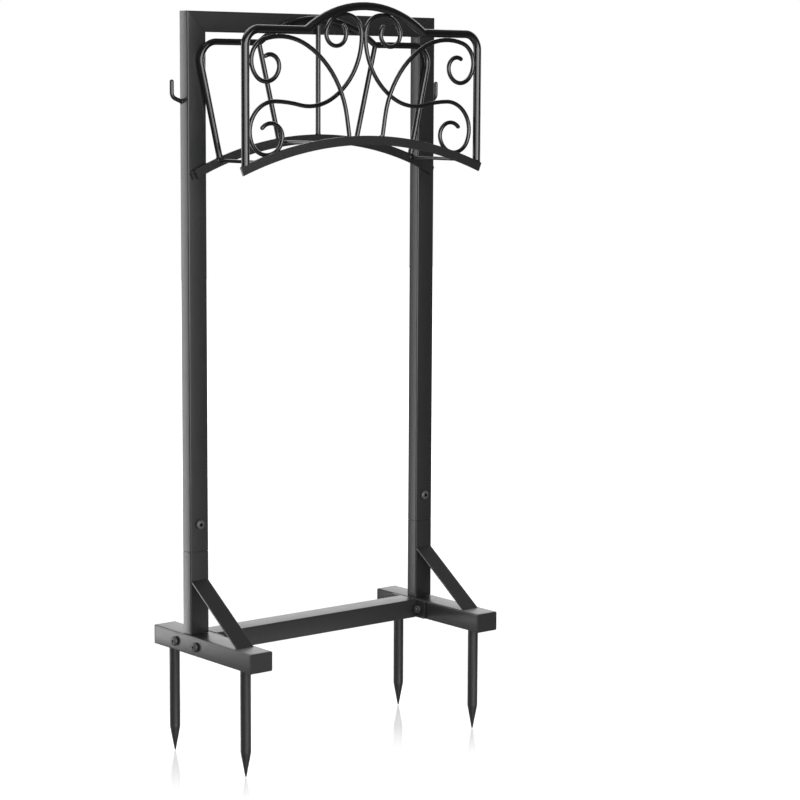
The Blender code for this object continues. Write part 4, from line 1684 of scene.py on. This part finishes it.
@dataclass
class Studio:
    """The pale floor, the walls that the coats reflect, the lights and the camera."""

    LIGHTS = (
        SoftBox("front_box", (-0.55, -2.8, 0.9), (2.9, 2.4), 118.0),
        SoftBox("camera_box", (-3.3, -2.4, 0.8), (1.7, 2.2), 26.0),
        SoftBox("left_strip", (-0.539, 0.612, 0.435), (0.22, 1.16), 3.6, (-0.2, 0.0, 0.435)),
        SoftBox("low_card", (-0.51, 0.60, -0.115), (0.16, 0.06), 0.2, (-0.218, 0.06, 0.01)),
        SoftBox("top_panel", (-0.6, 1.3, 3.0), (2.4, 2.2), 34.0),
    )
    WALLS = (
        Wall((0.62, 0.77, 0.16), (0.72, 0.97), 1.5),
        Wall((0.99, 0.05, 0.12), (0.86, 0.99), 1.2),
        Wall((0.62, -0.78, 0.04), (0.60, 0.95), -0.12),
    )

    camera_place: Point = (-2.01783, -2.67418, 0.77025)
    camera_yaw: float = 0.6838
    camera_pitch: float = -0.1289
    camera_roll: float = 0.0052
    focal_pixels: float = 2379.06
    frame_pixels: int = 800
    sensor: float = 36.0
    floor_size: float = 14.0
    floor_roughness: float = 0.03
    floor_glow: float = 0.35
    floor_drop: float = 0.0002  # below the spikes' points
    far_glow: float = 0.9
    far_reach: Range = (0.5, 2.6)
    seen_grey: float = 0.86
    painted_shade_greys: tuple[float, float] = (0.34, 0.12)  # painted shade: the floor's grey to other rays, lighter at the left and darker at the right
    # painted shade: across this span the floor turns from the left grey to the darker right one
    painted_shade_reach: Range = (0.3, 1.4)
    gloss: float = 1.0
    gloss_index: float = 1.9
    gloss_reach: float = 0.23
    # painted light: a patch of floor in front of the stand glows, seen only in reflections, to paint
    # highlights on the spikes and posts
    painted_glow: float = 1.0
    painted_glow_place: Point = (0.20, -0.36, 0.0)
    painted_glow_reach: Range = (0.08, 0.20)
    ambient: float = 0.16

    def build(self) -> None:
        """Sets the stage round the finished stand."""
        self._floor()
        self._world()
        for light in self.LIGHTS:
            light.hang()
        self._camera()
        bpy.context.scene.view_settings.view_transform = "Standard"

    def _floor(self) -> None:
        """A pale floor under the spikes' points, which keeps the shadow and a short reflection; to
        reflections it shows painted shade at the right and a painted glowing patch in front.
        """
        level = CAD_BOX[0][2] - self.floor_drop
        Bench.clear()
        bpy.ops.mesh.primitive_plane_add(size=self.floor_size, location=(0.0, 0.0, level))
        floor = bpy.context.object
        floor.name = "floor"
        material = bpy.data.materials.new("pale_floor")
        material.use_nodes = True
        shader = Shader(material.node_tree)
        surface = material.node_tree.nodes["Principled BSDF"]
        surface.inputs["Roughness"].default_value = 0.9
        surface.inputs["Specular IOR Level"].default_value = 0.0
        surface.inputs["Coat Roughness"].default_value = self.floor_roughness
        surface.inputs["Coat IOR"].default_value = self.gloss_index
        surface.inputs["Emission Strength"].default_value = 1.0
        seen = shader.node("ShaderNodeLightPath", output="Is Camera Ray")
        mirrored = shader.node("ShaderNodeLightPath", output="Is Glossy Ray")
        black, bright = (0.0, 0.0, 0.0, 1.0), (2.0, 2.0, 2.0, 1.0)
        shades = (self.seen_grey, *self.painted_shade_greys)
        pale, grey, dark = ((shade, shade, shade, 1.0) for shade in shades)
        place = shader.node("ShaderNodeTexCoord", output="Object")
        # painted shade: to rays other than the camera's, the floor is grey at the left and darker at the
        # right, so reflections and bounced light darken there
        sideways = shader.node("ShaderNodeSeparateXYZ", None, {0: place}, "X").between(*self.painted_shade_reach)
        painted_shade = shader.blend(sideways, grey, dark)
        shader.put(surface.inputs["Base Color"], shader.blend(seen, painted_shade, pale))
        away = self._distance(shader, place, (0.0, 0.0, 0.0))
        glow = (away.between(*self.far_reach) * self.far_glow + self.floor_glow) * seen
        folded = shader.node("ShaderNodeVectorMath", {"operation": "ABSOLUTE"}, {0: place})
        side = shader.node("ShaderNodeSeparateXYZ", None, {0: folded}, "X")
        depth = shader.node("ShaderNodeSeparateXYZ", None, {0: place}, "Y")
        ground = shader.node("ShaderNodeCombineXYZ", None, {0: side, 1: depth})
        # painted light: the floor glows in a patch in front of the stand for reflected rays only, which
        # paints highlights on the spikes and posts
        painted_glow_patch = 1.0 - self._distance(shader, ground, self.painted_glow_place).between(*self.painted_glow_reach)
        glow = glow + painted_glow_patch * mirrored * self.painted_glow
        shader.put(surface.inputs["Emission Color"], shader.blend(glow * 0.5, black, bright))
        gloss = None
        for end in ("front", "rear"):
            tip = Span.of(f"ground_spike_{end}_right").centre
            away = self._distance(shader, ground, (tip.x, tip.y, 0.0))
            near = 1.0 - away.between(0.0, self.gloss_reach)
            gloss = near if gloss is None else gloss + near
        shader.put(surface.inputs["Coat Weight"], gloss * self.gloss)
        floor.data.materials.append(material)

    @staticmethod
    def _distance(shader: Shader, place: Signal, point: Point) -> Signal:
        """How far a place is from a point."""
        settings = {"operation": "DISTANCE"}
        return shader.node("ShaderNodeVectorMath", settings, {0: place, 1: point}, "Value")

    def _world(self) -> None:
        """White to the camera; a studio that is dark on one side to the coat's reflections."""
        world = bpy.data.worlds.new("studio")
        bpy.context.scene.world = world
        world.use_nodes = True
        tree = world.node_tree
        shader = Shader(tree)
        direction = shader.node("ShaderNodeTexCoord", output="Generated")
        settings = {"operation": "DOT_PRODUCT"}
        glow = None
        for wall in self.WALLS:
            facing = shader.node("ShaderNodeVectorMath", settings, {0: direction, 1: wall.axis}, "Value")
            part = facing.between(*wall.fade) * wall.strength
            glow = part if glow is None else glow + part
        glow = glow + self.ambient
        camera = shader.node("ShaderNodeLightPath", output="Is Camera Ray")
        strength = shader.node("ShaderNodeMix", {"data_type": "FLOAT"}, {0: camera, 2: glow, 3: 1.0})
        background = tree.nodes["Background"]
        background.inputs["Color"].default_value = (1.0, 1.0, 1.0, 1.0)
        shader.put(background.inputs["Strength"], strength)

    def _camera(self) -> None:
        """The camera at the photograph's viewing angle."""
        yaw, pitch, roll = self.camera_yaw, self.camera_pitch, self.camera_roll
        forward = Vector((sin(yaw) * cos(pitch), cos(yaw) * cos(pitch), sin(pitch)))
        right = Vector((cos(yaw), -sin(yaw), 0.0))
        up = right.cross(forward)
        right, up = right * cos(roll) + up * sin(roll), up * cos(roll) - right * sin(roll)
        data = bpy.data.cameras.new("camera")
        data.sensor_width = self.sensor
        data.lens = self.focal_pixels / self.frame_pixels * self.sensor
        camera = bpy.data.objects.new("camera", data)
        axes = Matrix((right, up, -forward)).transposed()
        camera.matrix_world = Matrix.Translation(self.camera_place) @ axes.to_4x4()
        bpy.context.scene.collection.objects.link(camera)
        bpy.context.scene.camera = camera


def main() -> None:
    """Builds the stand's pieces, then the studio."""
    logging.basicConfig(level=logging.INFO, format="%(name)s: %(message)s")
    shop = Workshop(Palette())
    Uprights(shop).build()
    Base(shop).build()
    Fasteners(shop).build()
    saddle = Saddle(shop)
    saddle.build()
    Hanger(shop, saddle).build()
    Welds(shop, saddle).build()
    log.info("%d pieces", shop.count)
    Bench.clear()
    Studio().build()


if __name__ == "__main__":
    main()
